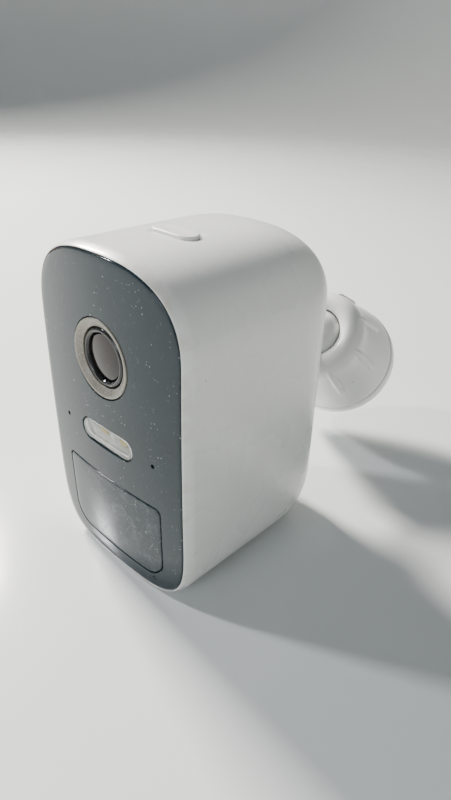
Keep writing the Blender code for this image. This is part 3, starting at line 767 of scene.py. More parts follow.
def pill(centre: Point, size: Point, margin: float = 0.0, steps: int = 10) -> list[Point]:
    """Return an outline with round ends, grown by a margin on every side."""
    grown = (size[0] + 2 * margin, size[1] + 2 * margin)
    return rounded(centre, grown, min(grown) / 2 - 0.01, steps=steps)


def circle(centre: Point, radius: float, steps: int = 24) -> list[Point]:
    """Return a round outline."""
    angles = [index * math.tau / steps for index in range(steps)]
    return [(centre[0] + radius * math.cos(a), centre[1] + radius * math.sin(a)) for a in angles]


def divided(outline: Sequence[Point], longest: float) -> list[Point]:
    """Add points along an outline's sides, so that a crowned shape follows them.

    Args:
        outline: The outline's points.
        longest: The length that no side may pass.

    Returns:
        The outline with its added points.
    """
    points: list[Point] = []
    for start, stop in zip(outline, [*outline[1:], outline[0]]):
        pieces = max(1, math.ceil(math.dist(start, stop) / longest))
        points += [(start[0] + (stop[0] - start[0]) * piece / pieces,
                    start[1] + (stop[1] - start[1]) * piece / pieces) for piece in range(pieces)]
    return points


def shrunk(outline: Iterable[Point], centre: Point, share: float) -> list[Point]:
    """Return an outline drawn in towards a centre."""
    return [(centre[0] + share * (x - centre[0]), centre[1] + share * (z - centre[1]))
            for x, z in outline]


def soft_edge(width: float, steps: int = 4) -> list[Point]:
    """Return (inset, drop) pairs down a quarter-round edge, from its top to its foot."""
    angles = [step * math.pi / 2 / steps for step in range(steps + 1)]
    return [(width * (1 - math.sin(angle)), width * (1 - math.cos(angle))) for angle in angles]


def closed(body: bmesh.types.BMesh) -> bmesh.types.BMesh:
    """Merge the points that meet and turn every face outwards.

    Args:
        body: The body that is worked.

    Returns:
        The same body.
    """
    bmesh.ops.remove_doubles(body, verts=body.verts, dist=MERGE)
    bmesh.ops.recalc_face_normals(body, faces=body.faces)
    return body


def lofted(rings: Sequence[Ring]) -> bmesh.types.BMesh:
    """Draw a closed skin through rings of equal length, capped at both ends.

    Args:
        rings: The rings in order; the first and the last are capped.

    Returns:
        The closed body.
    """
    body = bmesh.new()
    place = body.verts.layers.int.new("place")
    start = bmesh.ops.create_circle(body, segments=len(rings[0]), radius=1.0)["verts"]
    for index, vertex in enumerate(start):
        vertex[place] = index
        vertex.co = rings[0][index]
    edges = list(body.edges)
    bmesh.ops.contextual_create(body, geom=edges)
    for ring in rings[1:]:
        grown = bmesh.ops.extrude_edge_only(body, edges=edges)["geom"]
        for vertex in (item for item in grown if isinstance(item, bmesh.types.BMVert)):
            vertex.co = ring[vertex[place]]
        edges = [item for item in grown
                 if isinstance(item, bmesh.types.BMEdge) and item.is_boundary]
    bmesh.ops.contextual_create(body, geom=edges)
    return closed(body)


def spun(profile: Sequence[Point], steps: int = 96) -> bmesh.types.BMesh:
    """Turn (radius, height) points about Z.

    Args:
        profile: The points; a profile that touches the axis at both ends is solid at
            its middle, and any other closes on itself and makes a ring.
        steps: How many pieces the turn is drawn in.

    Returns:
        The closed body.
    """
    body = bmesh.new()
    points = [body.verts.new((radius, 0, height)) for radius, height in profile]
    pairs = list(zip(points, points[1:]))
    if profile[0][0] > 0:
        pairs.append((points[-1], points[0]))
    edges = [body.edges.new(pair) for pair in pairs]
    bmesh.ops.spin(
        body, geom=points + edges, cent=(0, 0, 0), axis=(0, 0, 1),
        angle=math.tau, steps=steps, use_merge=True)
    return closed(body)


def extruded(loop: Ring, travel: Vector) -> bmesh.types.BMesh:
    """Push one flat loop of points into a solid.

    Args:
        loop: The loop's points in order.
        travel: How far and which way it is pushed.

    Returns:
        The closed body.
    """
    body = bmesh.new()
    base = body.faces.new([body.verts.new(point) for point in loop])
    pushed = bmesh.ops.extrude_face_region(body, geom=[base])["geom"]
    far = [item for item in pushed if isinstance(item, bmesh.types.BMVert)]
    bmesh.ops.translate(body, vec=travel, verts=far)
    return closed(body)


def eased(body: bmesh.types.BMesh, width: float, segments: int = 3,
          sharp: float = 30.0) -> bmesh.types.BMesh:
    """Round a body's sharp edges.

    Args:
        body: The body that is worked.
        width: The width of the rounding, in millimetres.
        segments: How many pieces the rounding is drawn in.
        sharp: The angle, in degrees, past which an edge is rounded.

    Returns:
        The same body.
    """
    edges = [edge for edge in body.edges
             if edge.is_manifold and edge.calc_face_angle(0.0) > math.radians(sharp)]
    bmesh.ops.bevel(
        body, geom=edges, offset=width, segments=segments, profile=0.5,
        affect="EDGES", material=-1, clamp_overlap=True)
    return body


def facing(body: bmesh.types.BMesh, origin: Sequence[float],
           direction: Vector) -> bmesh.types.BMesh:
    """Turn a body made about Z to another direction, then move it.

    Args:
        body: The body that is moved.
        origin: Where its own origin goes.
        direction: Where its Z goes.

    Returns:
        The same body.
    """
    turn = UPWARDS.rotation_difference(direction).to_matrix()
    bmesh.ops.rotate(body, cent=(0, 0, 0), matrix=turn, verts=body.verts)
    bmesh.ops.translate(body, vec=origin, verts=body.verts)
    return body


def set_back(profile: Sequence[Point], centre: Point, steps: int = 96) -> bmesh.types.BMesh:
    """Turn a profile about a line that runs straight back at (x, z); its heights are depths."""
    return facing(spun(profile, steps), (centre[0], FRONT_Y, centre[1]), BACKWARDS)


def rod(radius: float, low: float, high: float, ease: float = 0.0) -> list[Point]:
    """Return the profile of a solid rod with eased ends."""
    return filleted(
        [(0, low, 0), (radius, low, ease), (radius, high, ease), (0, high, 0)], 3, False)


def upright(outline: Iterable[Point], depth: float) -> Ring:
    """Place (x, z) points on an upright plane at a depth."""
    return [Vector((x, FRONT_Y + depth, z)) for x, z in outline]


def level(outline: Iterable[Point], height: float) -> Ring:
    """Place (x, depth) points on a level plane."""
    return [Vector((x, FRONT_Y + depth, height)) for x, depth in outline]


def plate(outline: Iterable[Point], depth: float, thickness: float) -> bmesh.types.BMesh:
    """Return an upright plate from its (x, z) outline."""
    return extruded(upright(outline, depth), Vector((0, thickness, 0)))


def shelf(outline: Iterable[Point], low: float, high: float) -> bmesh.types.BMesh:
    """Return a level slab from its (x, depth) outline."""
    return extruded(level(outline, low), Vector((0, 0, high - low)))


def worked(how: Cut, body: bmesh.types.BMesh,
           tools: Iterable[bmesh.types.BMesh]) -> bmesh.types.BMesh:
    """Cut tools away from a body or join them on.

    Args:
        how: Whether the tools are taken away or put on.
        body: The body that is worked.
        tools: The tools' closed shapes.

    Returns:
        The worked body.
    """
    helpers = []
    for index, shape in enumerate([body, *tools]):
        mesh = bpy.data.meshes.new(f"tool_{index}")
        shape.to_mesh(mesh)
        shape.free()
        helper = bpy.data.objects.new(f"tool_{index}", mesh)
        bpy.context.scene.collection.objects.link(helper)
        helpers.append(helper)
    for tool in helpers[1:]:
        modifier = helpers[0].modifiers.new(tool.name, "BOOLEAN")
        modifier.operation = how.value
        modifier.solver = "EXACT"
        modifier.object = tool
    result = bmesh.new()
    result.from_object(helpers[0], bpy.context.evaluated_depsgraph_get())
    for helper in helpers:
        mesh = helper.data
        bpy.data.objects.remove(helper, do_unlink=True)
        bpy.data.meshes.remove(mesh)
    return result


def store(name: str, body: bmesh.types.BMesh, finish: bpy.types.Material, rides: str,
          slot: Slot, stands_for: Sequence[str] = (), sharp: float = 32.0) -> bpy.types.Object:
    """Store a body as a piece of the visual model.

    Args:
        name: The piece's name.
        body: Its shape, in millimetres.
        finish: Its material.
        rides: The body of the frame that it moves with.
        slot: Not used.
        stands_for: The frame's nodes that it replaces.
        sharp: The angle, in degrees, past which an edge stays crisp.

    Returns:
        The stored object.
    """
    bmesh.ops.scale(body, vec=(MM, MM, MM), verts=body.verts)
    mesh = bpy.data.meshes.new(name)
    body.to_mesh(mesh)
    body.free()
    mesh.shade_smooth()
    mesh.set_sharp_from_angle(angle=math.radians(sharp))
    mesh.materials.append(finish)
    piece = bpy.data.objects.new(name, mesh)
    bpy.context.scene.collection.objects.link(piece)
    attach(piece, rides)
    if stands_for:
        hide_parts(*stands_for)
    LOG.info("%-24s rides on %-10s %6d faces", name, rides, len(mesh.polygons))
    return piece


def middle_of(node: str) -> tuple[float, float, float]:
    """Return the middle of a node's box at rest, in millimetres."""
    return tuple((low + high) / 2 / MM for low, high in zip(*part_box(node)))


def dress(finish: bpy.types.Material, *nodes: str) -> None:
    """Give nodes of the frame a better material.

    Args:
        finish: The material.
        nodes: The nodes' names.
    """
    for name in nodes:
        mesh = frame["nodes"][name].data
        mesh.materials.clear()
        mesh.materials.append(finish)
        LOG.info("%-24s keeps its shape, finished as %s", name, finish.name)


# ---------------------------------------------------------------- housing


@dataclass(frozen=True)
class Corner:
    """A superellipse corner: its half widths and how square it is."""

    across: float
    along: float
    power: float


@dataclass
class Housing:
    """The deep white shell, its back, and what opens in it."""

    width: float = 57.0
    height: float = 94.5
    depth: float = 66.0
    wall: float = 2.2
    rim: float = 1.05
    edge_depth: float = 3.4
    top: Corner = Corner(28.4, 22.3, 2.56)
    bottom: Corner = Corner(19.8, 23.5, 3.37)
    rear_inset: float = 22.5
    rear_depth: float = 27.1
    rear_power: float = 2.95
    rear_limit: float = 19.5
    side_setback: float = 2.1
    end_setback: float = 0.65
    ledge: float = 3.4
    corner_steps: int = 26
    rear_steps: int = 22
    side_cuts: int = 14
    foot_cuts: int = 8
    boss_depth: float = 13.0
    bore_flare: float = 0.7
    speaker_depth: float = 37.0
    speaker_circle: float = 3.4
    speaker_hole: float = 0.9

    def outline(self, inset: float) -> list[Point]:
        """Draw the housing as it is seen from the front.

        Args:
            inset: How far the outline is pulled in on every side.

        Returns:
            The outline in (x, z).
        """
        corners = (
            (1, 1, self.top, 1), (-1, 1, self.top, self.side_cuts),
            (-1, -1, self.bottom, self.foot_cuts), (1, -1, self.bottom, self.side_cuts))
        arcs = []
        for quarter, (side, end, corner, _) in enumerate(corners):
            across, along = max(corner.across - inset, 0.4), max(corner.along - inset, 0.4)
            centre = (
                side * (self.width / 2 - inset - across),
                self.height / 2 + end * (self.height / 2 - inset - along))
            arcs.append(superarc(
                centre, (across, along), quarter * math.pi / 2, self.corner_steps, corner.power))
        points: list[Point] = []
        for index, arc in enumerate(arcs):
            start, stop, cuts = arc[-1], arcs[(index + 1) % 4][0], corners[index][3]
            points += arc
            points += [(start[0] + (stop[0] - start[0]) * cut / cuts,
                        start[1] + (stop[1] - start[1]) * cut / cuts) for cut in range(1, cuts)]
        return points

    def setback(self, x: float, z: float) -> float:
        """Return how far the crowned front lies behind its middle at a point."""
        return (self.side_setback * (2 * x / self.width) ** 2
                + self.end_setback * (2 * z / self.height - 1) ** 2)

    def crowned(self, outline: Iterable[Point], depth: float) -> Ring:
        """Place (x, z) points on the crowned surface at a depth; it flattens towards the back."""
        fade = 1 - depth / self.depth
        return [Vector((x, FRONT_Y + depth + fade * self.setback(x, z), z)) for x, z in outline]

    def ring(self, inset: float, depth: float, share: float = 1.0) -> Ring:
        """Return the outline on the crown at an inset and a depth, drawn in by a share."""
        return self.crowned(shrunk(self.outline(inset), (0, self.height / 2), share), depth)

    def rear(self, wall: float, steps: int) -> list[Point]:
        """Draw the rounded back as it is seen from the side.

        Args:
            wall: How far inside the outer face it lies.
            steps: How many pieces it is drawn in.

        Returns:
            (inset, depth) pairs, from its start to the flat.
        """
        pairs = []
        for step in range(steps + 1):
            angle = step * math.pi / 2 / steps
            inset = (self.rear_inset - wall) * (1 - math.cos(angle) ** (2 / self.rear_power)) + wall
            run = (self.rear_depth - wall) * math.sin(angle) ** (2 / self.rear_power)
            pairs.append((min(inset, self.rear_limit), self.depth - self.rear_depth + run))
        return pairs

    def roof(self, x: float) -> float:
        """Follow the crowned top.

        Args:
            x: A place across it.

        Returns:
            The top's height there.
        """
        share = max(abs(x) - (self.width / 2 - self.top.across), 0) / self.top.across
        drop = 1 - (1 - share ** self.top.power) ** (1 / self.top.power)
        return self.height - self.top.along * drop

    def make_shell(self, finishes: Finishes, button: "SyncButton", port: "ChargingPort",
                   stud: "Stud") -> None:
        """Make the shell with its button hole, flap recess, stud bore and speaker holes.

        Args:
            finishes: The camera's finishes.
            button: Gives the outline of the hole in the top.
            port: Gives the recess in the back.
            stud: Gives the bore in the back.
        """
        back, edge = self.depth, self.edge_depth + 1.0
        start = back - self.rear_depth
        rings = [self.ring(self.rear_limit, back, 0.90)]
        rings += [self.ring(*pair) for pair in reversed(self.rear(0.0, self.rear_steps))]
        rings += [self.ring(0.0, start + (edge - start) * step / 8) for step in range(1, 8)]
        brow = filleted([
            (0.0, edge, 0), (0.0, self.edge_depth - 0.7, 1.5), (0.72, 0.45, 0.6),
            (self.rim, 0.0, 0.15), (self.rim + 0.1, 0.3, 0)], 6, False)
        lip = [(self.rim + 0.1, self.ledge), (self.wall, self.ledge)]
        rings += [self.ring(*pair) for pair in [*brow, *lip, *self.rear(self.wall, 8)]]
        line = (0.0, stud.height)
        boss = set_back(rod(stud.boss, back - self.boss_depth, back - self.wall / 2), line, 48)
        body = worked(Cut.ON, lofted(rings), [boss])
        inner, mouth = back - self.boss_depth - 1, stud.bore + self.bore_flare
        bore = filleted([
            (0, inner, 0), (stud.bore, inner, 0), (stud.bore, back - self.bore_flare / 2, 0),
            (mouth, back + self.bore_flare / 2, 0), (mouth, back + 2, 0), (0, back + 2, 0)],
            looped=False)
        tools = [set_back(bore, line, 64), button.hole(self), *port.recess(back)]
        speaker = (0.0, self.speaker_depth)
        tools += [shelf(circle(hole, self.speaker_hole, 20), -1, self.wall + 2)
                  for hole in [speaker, *circle(speaker, self.speaker_circle, 6)]]
        store("housing_shell", worked(Cut.AWAY, body, tools), finishes.shell, "housing",
              Slot.WHITE, ["main_shell"])


@dataclass
class FrontPanel:
    """The crowned dark panel and the window over the motion sensor."""

    thick: float = 2.2
    edge: float = 0.4
    flare: float = 1.14
    pinhole: float = 0.55
    pinhole_mouth: float = 1.9
    pir_radii: Point = (6.5, 1.8)
    pir_edge: float = 0.3
    longest_side: float = 1.5

    def middle(self) -> Point:
        """Return the middle of the motion window as (x, z), in millimetres."""
        x, _, z = middle_of("pir_lens")
        return x, z

    def window(self, margin: float) -> list[Point]:
        """Draw the motion window as it is seen from the front.

        Args:
            margin: How far the outline is grown on every side.

        Returns:
            The outline in (x, z).
        """
        low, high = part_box("pir_lens")
        size = (high.x - low.x) / MM, (high.z - low.z) / MM
        middle = self.middle()
        full = divided(rounded(middle, size, *self.pir_radii, 12), self.longest_side)
        grow = (1 + 2 * margin / size[0], 1 + 2 * margin / size[1])
        return [(middle[0] + (x - middle[0]) * grow[0], middle[1] + (z - middle[1]) * grow[1])
                for x, z in full]

    def flared(self, housing: Housing,
               outline: Callable[[float], list[Point]]) -> bmesh.types.BMesh:
        """Make a cutter whose mouth eases the edge of the hole that it cuts.

        Args:
            housing: Gives the crown that the mouth follows.
            outline: Gives the outline of what fills the hole, grown by a margin.

        Returns:
            The cutter.
        """
        mouth, hole = outline(GAP + self.flare), outline(GAP)
        return lofted([housing.crowned(mouth, -5.0), housing.crowned(mouth, -1.0),
                       housing.crowned(hole, 0.14), housing.crowned(hole, 7.0)])

    def make(self, housing: Housing, finishes: Finishes, lens: "LensModule",
             spot: "Spotlight") -> None:
        """Make the panel with its openings.

        Args:
            housing: Gives the crown and the outline.
            finishes: The camera's finishes.
            lens: Gives the round opening.
            spot: Gives the pill opening and the pinholes' height.
        """
        inset = housing.rim + GAP
        shares = [0.04 + 0.96 * step / 26 for step in range(26)]
        rings = [housing.ring(inset + self.edge, 0.0, share) for share in shares]
        rings += [housing.ring(inset + side, drop) for side, drop in soft_edge(self.edge)]
        rings += [housing.ring(inset, self.thick, share) for share in (1.0, 0.7, 0.35)]
        tools = [
            set_back(rod(lens.trim_radius + GAP, -2, 8), (0.0, lens.height), 96),
            self.flared(housing, spot.outline),
            self.flared(housing, self.window),
        ]
        pin = filleted([(0, -2, 0), (self.pinhole_mouth, -2, 0), (self.pinhole, 1.0, 0.3),
                        (self.pinhole, 8, 0), (0, 8, 0)], looped=False)
        status_x, _, status_z = middle_of("status_light_pipe")
        places = [(-spot.pinhole_x, spot.height), (spot.pinhole_x, spot.height),
                  (status_x, status_z)]
        tools += [set_back(pin, place, 24) for place in places]
        store("lens_panel", worked(Cut.AWAY, lofted(rings), tools), finishes.panel, "housing",
              Slot.GLOSS_BLACK, ["front_panel"])

    def make_window(self, housing: Housing, finishes: Finishes) -> None:
        """Make the gently bulged window over the motion sensor.

        Args:
            housing: Gives the crown that it follows.
            finishes: The camera's finishes.
        """
        middle, edge = self.middle(), self.pir_edge
        shares = [step / 14 for step in range(14)]
        rings = [housing.crowned(shrunk(self.window(-edge), middle, 0.04 + 0.96 * share),
                                 0.10 * share ** 2 - 0.12) for share in shares]
        rings += [housing.crowned(self.window(-side), drop - 0.02)
                  for side, drop in soft_edge(edge)]
        rings += [housing.crowned(self.window(0.0), 1.5),
                  housing.crowned(shrunk(self.window(0.0), middle, 0.5), 1.35)]
        store("motion_window", lofted(rings), finishes.motion, "housing",
              Slot.GLOSS_BLACK, ["pir_lens"])


@dataclass
class LensModule:
    """Trim ring, barrel and glass on one line through the lens centre."""

    trim_radius: float = 10.5
    trim_bore: float = 8.1
    barrel_radius: float = 7.8
    glass_radius: float = 5.9
    bore: float = 4.2

    @property
    def height(self) -> float:
        """Return the height of the lens centre, in millimetres."""
        return middle_of("lens_trim_ring")[2]

    def make(self, finishes: Finishes) -> None:
        """Make the trim ring, the barrel and the front glass.

        Args:
            finishes: The camera's finishes.
        """
        centre = (0.0, self.height)
        outer, bore = self.trim_radius, self.trim_bore
        trim = filleted([
            (bore, 1.20, 0.12), (outer - 0.75, 0.12, 0.25), (outer - 0.18, 0.10, 0.12),
            (outer, 0.34, 0.12), (outer, 3.2, 0), (bore, 3.2, 0)], 5)
        store("trim_ring", set_back(trim, centre, 128), finishes.trim, "housing",
              Slot.TRIM_GREY, ["lens_trim_ring"])
        glass, barrel = self.glass_radius, self.barrel_radius
        lip = [
            (glass + GAP, 2.6, 0.1), (glass + 0.45, 1.55, 0.2), (glass + 0.85, 1.05, 0.25),
            (barrel - 0.45, 1.05, 0.35), (barrel, 1.55, 0.3), (barrel, 10.0, 0), (6.4, 10.6, 0),
            (6.4, 17.0, 0), (self.bore, 17.0, 0), (self.bore, 9.0, 0), (glass + GAP, 7.0, 0)]
        store("lens_barrel_gloss", set_back(filleted(lip, 5), centre, 128), finishes.barrel,
              "housing", Slot.BLACK_PLASTIC, ["lens_barrel"])
        dome = [(glass * step / 12, 1.5 + 0.45 * (step / 12) ** 2) for step in range(13)]
        dome += [(glass, 3.6), (glass * 0.93, 4.2)]
        dome += [(glass * 0.8 * (1 - step / 8), 4.3 + 0.5 * math.sin(step * math.pi / 16))
                 for step in range(9)]
        store("front_glass", set_back(dome, centre, 96), finishes.glass, "housing",
              Slot.LENS_GLASS, ["lens_front_element"])


@dataclass
class Spotlight:
    """The pill window, the reflector behind it and its two emitters."""

    size: Point = (20.8, 6.0)
    edge: float = 0.35
    tray: Point = (23.0, 8.4)
    emitter: Point = (3.4, 2.7)
    pinhole_x: float = 18.0
    led_x: float = 4.2

    @property
    def height(self) -> float:
        """Return the height of the window's middle, in millimetres."""
        return middle_of("spotlight_window")[2]

    def outline(self, margin: float) -> list[Point]:
        """Return the window's outline in (x, z), grown by a margin."""
        return pill((0.0, self.height), self.size, margin)

    def make(self, housing: Housing, finishes: Finishes) -> None:
        """Make the window, the reflector and the emitters.

        Args:
            housing: Gives the crown that the window follows.
            finishes: The camera's finishes.
        """
        middle, wall = (0.0, self.height), self.outline(-1.2)
        rings = [housing.crowned(shrunk(self.outline(-self.edge), middle, share),
                                 0.02 + 0.06 * share ** 2) for share in (0.15, 0.4, 0.65, 0.85)]
        rings += [housing.crowned(self.outline(-side), 0.1 + drop)
                  for side, drop in soft_edge(self.edge)]
        rings += [housing.crowned(self.outline(0.0), 2.2), housing.crowned(self.outline(-0.8), 2.2),
                  housing.crowned(self.outline(-0.85), 1.2), housing.crowned(wall, 1.05),
                  housing.crowned(shrunk(wall, middle, 0.5), 1.05)]
        store("spot_window", lofted(rings), finishes.frosted, "housing",
              Slot.FROSTED, ["spotlight_window"])

        tray = eased(plate(rounded(middle, self.tray, 1.5), 2.75, 1.8), 0.15)
        cups = []
        for side in (-1, 1):
            centre = (side * self.led_x, self.height)
            mouth, lip, floor = (rounded(centre, size, radius) for size, radius in (
                ((6.8, 5.6), 1.2), ((6.6, 5.4), 1.2), ((4.6, 3.8), 0.7)))
            cups.append(lofted([
                upright(mouth, 2.2), upright(lip, 2.74), upright(floor, 4.2), upright(floor, 5.0)]))
        store("spot_reflector", worked(Cut.AWAY, tray, cups), finishes.reflector, "housing",
              Slot.WHITE, ["spotlight_reflector"])
        for word in ("left", "right"):
            self.make_emitter(word, finishes)

    def make_emitter(self, word: str, finishes: Finishes) -> None:
        """Make one domed emitter of the pair.

        Args:
            word: Which of the two it is.
            finishes: The camera's finishes.
        """
        node = f"spotlight_led_{word}"
        centre = (middle_of(node)[0], self.height)
        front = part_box(node)[0].y / MM - FRONT_Y
        slopes = [math.radians(12 * step) for step in range(1, 8)]
        rings = [upright(pill(centre, self.emitter, -self.emitter[1] / 2 * (1 - math.sin(slope))),
                         front - 1.0 * math.cos(slope)) for slope in slopes]
        rings += [upright(pill(centre, self.emitter), front + depth) for depth in (0.0, 0.75)]
        store(f"spot_emitter_{word}", lofted(rings), finishes.phosphor, "housing",
              Slot.PHOSPHOR, [node])


# ---------------------------------------------------------------- button and port


@dataclass
class SyncButton:
    """The raised pill button in the top."""

    size: Point = (14.6, 6.6)
    proud: float = 0.7
    dish: float = 0.16
    edge: float = 0.45
    flange: float = 1.0
    flange_thick: float = 0.8
    post: float = 1.5
    post_length: float = 3.0

    @property
    def centre(self) -> Point:
        """Return the button's middle as (x, depth), in millimetres."""
        x, y, _ = middle_of("sync_button")
        return x, y - FRONT_Y

    def over_roof(self, housing: Housing, margin: float, proud: float) -> Ring:
        """Return the outline, grown by a margin, laid parallel to the top."""
        outline = pill(self.centre, self.size, margin)
        return [Vector((x, FRONT_Y + depth, housing.roof(x) + proud)) for x, depth in outline]

    def hole(self, housing: Housing) -> bmesh.types.BMesh:
        """Return the cutter of the button's hole, with a mouth that eases its edge."""
        return lofted([
            self.over_roof(housing, GAP + 1.3, 1.0), self.over_roof(housing, GAP + 0.3, 0.0),
            self.over_roof(housing, GAP + 0.08, -0.1), self.over_roof(housing, GAP, -0.35),
            self.over_roof(housing, GAP, -5.0)])

    def make(self, housing: Housing, finishes: Finishes) -> None:
        """Make the button with its dished top, soft edge, flange and post.

        Args:
            housing: Gives the roof that the top follows.
            finishes: The camera's finishes.
        """
        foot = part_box("sync_button")[0].z / MM + self.post_length
        flange_top = foot + self.flange_thick
        rings = [self.over_roof(housing, -3.3, self.proud - self.dish)]
        rings += [
            self.over_roof(housing, -self.edge - 2.6 * share, self.proud - self.dish * share ** 2)
            for share in (0.75, 0.5, 0.25)]
        rings += [self.over_roof(housing, -side, self.proud - drop)
                  for side, drop in soft_edge(self.edge, 6)]
        flange = pill(self.centre, self.size, self.flange)
        rings += [level(pill(self.centre, self.size), flange_top), level(flange, flange_top),
                  level(flange, foot)]
        x, depth = self.centre
        post = facing(spun(rod(self.post, -self.post_length, 0.4), 32),
                      (x, FRONT_Y + depth, foot), UPWARDS)
        store("button_cap", worked(Cut.ON, lofted(rings), [post]), finishes.button, "button",
              Slot.WHITE, ["sync_button"])


@dataclass
class ChargingPort:
    """The hinged flap over the charging socket, and the socket's tongue."""

    size: Point = (15.0, 8.4)
    thick: float = 1.2
    hinge_room: float = 1.5
    socket: Point = (8.8, 4.0)
    plug: Point = (7.4, 2.6)
    ridge: Point = (8.0, 0.7)
    tongue: Point = (5.0, 0.7)
    scoop_radius: float = 5.0
    scoop_drop: float = 5.9

    @property
    def height(self) -> float:
        """Return the height of the flap's middle, in millimetres."""
        return middle_of("port_flap")[2]

    def recess(self, back: float) -> list[bmesh.types.BMesh]:
        """Make the cutters of the flap's recess and of the socket's opening.

        Args:
            back: Depth of the housing's back.

        Returns:
            The two cutters.
        """
        middle = (0.0, self.height + self.hinge_room / 2)
        size = (self.size[0] + 2 * GAP, self.size[1] + 2 * GAP + self.hinge_room)
        floor = back - self.thick - GAP
        pocket = lofted([
            upright(rounded(middle, (size[0] + 2 * grow, size[1] + 2 * grow), 2.0 + grow,
                            0.8 + grow), depth)
            for grow, depth in ((1.2, back + 1.0), (0.0, back - 0.2), (0.0, floor))])
        return [pocket, plate(pill((0.0, self.height), self.socket), back - 3, 3)]

    def make(self, back: float, finishes: Finishes) -> None:
        """Make the flap with its lip and plug, and the tongue in the socket.

        Args:
            back: Depth of the housing's back.
            finishes: The camera's finishes.
        """
        middle, inside = (0.0, self.height), back - self.thick
        flap = eased(plate(rounded(middle, self.size, 1.8, steps=6), inside, self.thick), 0.25)
        scoop = set_back([(radius, back + depth) for radius, depth in rod(
            self.scoop_radius, -0.6, 6.0)], (0.0, self.height - self.scoop_drop), 64)
        flap = worked(Cut.AWAY, flap, [scoop])
        plug = eased(plate(pill(middle, self.plug), inside - 0.8, 1.2), 0.15)
        ridge = eased(plate(pill((0.0, self.height - 0.4), self.ridge), back - 0.2, 0.5), 0.15)
        store("charge_flap", worked(Cut.ON, flap, [plug, ridge]), finishes.grey_rubber, "flap",
              Slot.GREY_RUBBER, ["port_flap"])
        tongue = eased(plate(rounded(middle, self.tongue, 0.2, steps=3), back - 7.5, 4.2), 0.08, 2)
        store("charge_tongue", tongue, finishes.black, "housing", Slot.BLACK_PLASTIC)


# ---------------------------------------------------------------- mount


@dataclass
class Stud:
    """The stud that screws into the housing, its washer and the ball."""

    radius: float = 3.1
    neck: float = 2.8
    bore: float = 5.0
    boss: float = 8.0
    ball_radius: float = 9.2
    ball_behind: float = 28.0
    pitch: float = 1.27
    thread_depth: float = 0.45
    flange_radius: float = 7.8
    knurls: int = 24
    knurl_radius: float = 0.6
    washer_radius: float = 7.5
    washer_thick: float = 1.3
    groove_depth: float = 0.18

    @property
    def height(self) -> float:
        """Return the height of the stud's line, in millimetres."""
        return joint_point("stud_turn").z

    def make(self, back: float, finishes: Finishes) -> None:
        """Make the threaded stud with its knurled flange, the ball and the washer.

        Args:
            back: Depth of the housing's back.
            finishes: The camera's finishes.
        """
        line = (0.0, self.height)
        face = back + self.washer_thick
        flange, ball = face + GAP, back + self.ball_behind
        self.make_stud(back, flange, ball, finishes)

        bore = self.neck + GAP
        edge = math.asin(bore / self.ball_radius)
        sphere = [(0.0, ball + 2.4), (bore, ball + 2.4)]
        for step in range(48):
            angle = edge + (math.pi - edge) * step / 48
            sphere.append((self.ball_radius * math.sin(angle),
                           ball - self.ball_radius * math.cos(angle)))
        sphere.append((0.0, ball + self.ball_radius))
        store("swivel_ball", set_back(sphere, line, 96), finishes.mount, "ball_stud",
              Slot.WHITE, ["ball"])

        inner = self.radius + GAP
        washer = [(inner, back + GAP, 0.1), (self.washer_radius, back + GAP, 0.15),
                  (self.washer_radius, face, 0.15)]
        for radius in (6.4, 5.4, 4.4):
            washer += [(radius + 0.2, face, 0), (radius, face - self.groove_depth, 0),
                       (radius - 0.2, face, 0)]
        washer += [(inner, face, 0.1)]
        store("flange_washer", set_back(filleted(washer, 3), line, 96), finishes.rubber, "housing",
              Slot.RUBBER, ["stud_washer"])

    def make_stud(self, back: float, flange: float, ball: float, finishes: Finishes) -> None:
        """Make the stud, with plain grooves for its thread and a knurled flange.

        Args:
            back: Depth of the housing's back.
            flange: Depth of the flange's front face.
            ball: Depth of the ball's centre.
            finishes: The camera's finishes.
        """
        line = (0.0, self.height)
        tip, root, rim = back - 9, self.radius - self.thread_depth, self.flange_radius
        profile: list[Sequence[float]] = [(0, tip, 0), (self.radius - 0.6, tip, 0)]
        depth = back - 8.4
        while depth < back - 0.8:
            profile += [(self.radius, depth, 0.1), (root, depth + self.pitch / 2, 0.1)]
            depth += self.pitch
        profile += [
            (self.radius - 0.2, back, 0), (self.radius - 0.2, flange, 0.1),
            (rim - 0.6, flange, 0.2), (rim, flange + 0.5, 0.2), (rim, flange + 2.5, 0.2),
            (rim - 0.6, flange + 3.0, 0.3), (4.2, flange + 3.3, 0.8),
            (self.neck, flange + 5.0, 0.8), (self.neck, ball + 2, 0), (0, ball + 2, 0)]
        body = set_back(filleted(profile, 3, False), line, 96)
        notches = [set_back(rod(self.knurl_radius, flange - 1, flange + 4), place, 12)
                   for place in circle(line, rim + 0.35, self.knurls)]
        store("stud_and_flange", worked(Cut.AWAY, body, notches), finishes.turned_steel,
              "ball_stud", Slot.STEEL, ["stud_screw"])


def joint(name: str) -> dict[str, object]:
    """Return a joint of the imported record."""
    return next(item for item in frame["record"]["behaviour"]["joints"] if item["name"] == name)


def joint_point(name: str) -> Vector:
    """Return a joint's point in the frame, in millimetres."""
    return Vector(joint(name)["pos_m"]) / MM


def joint_axis(name: str) -> Vector:
    """Return a joint's axis in the frame."""
    return Vector(joint(name)["axis"]).normalized()


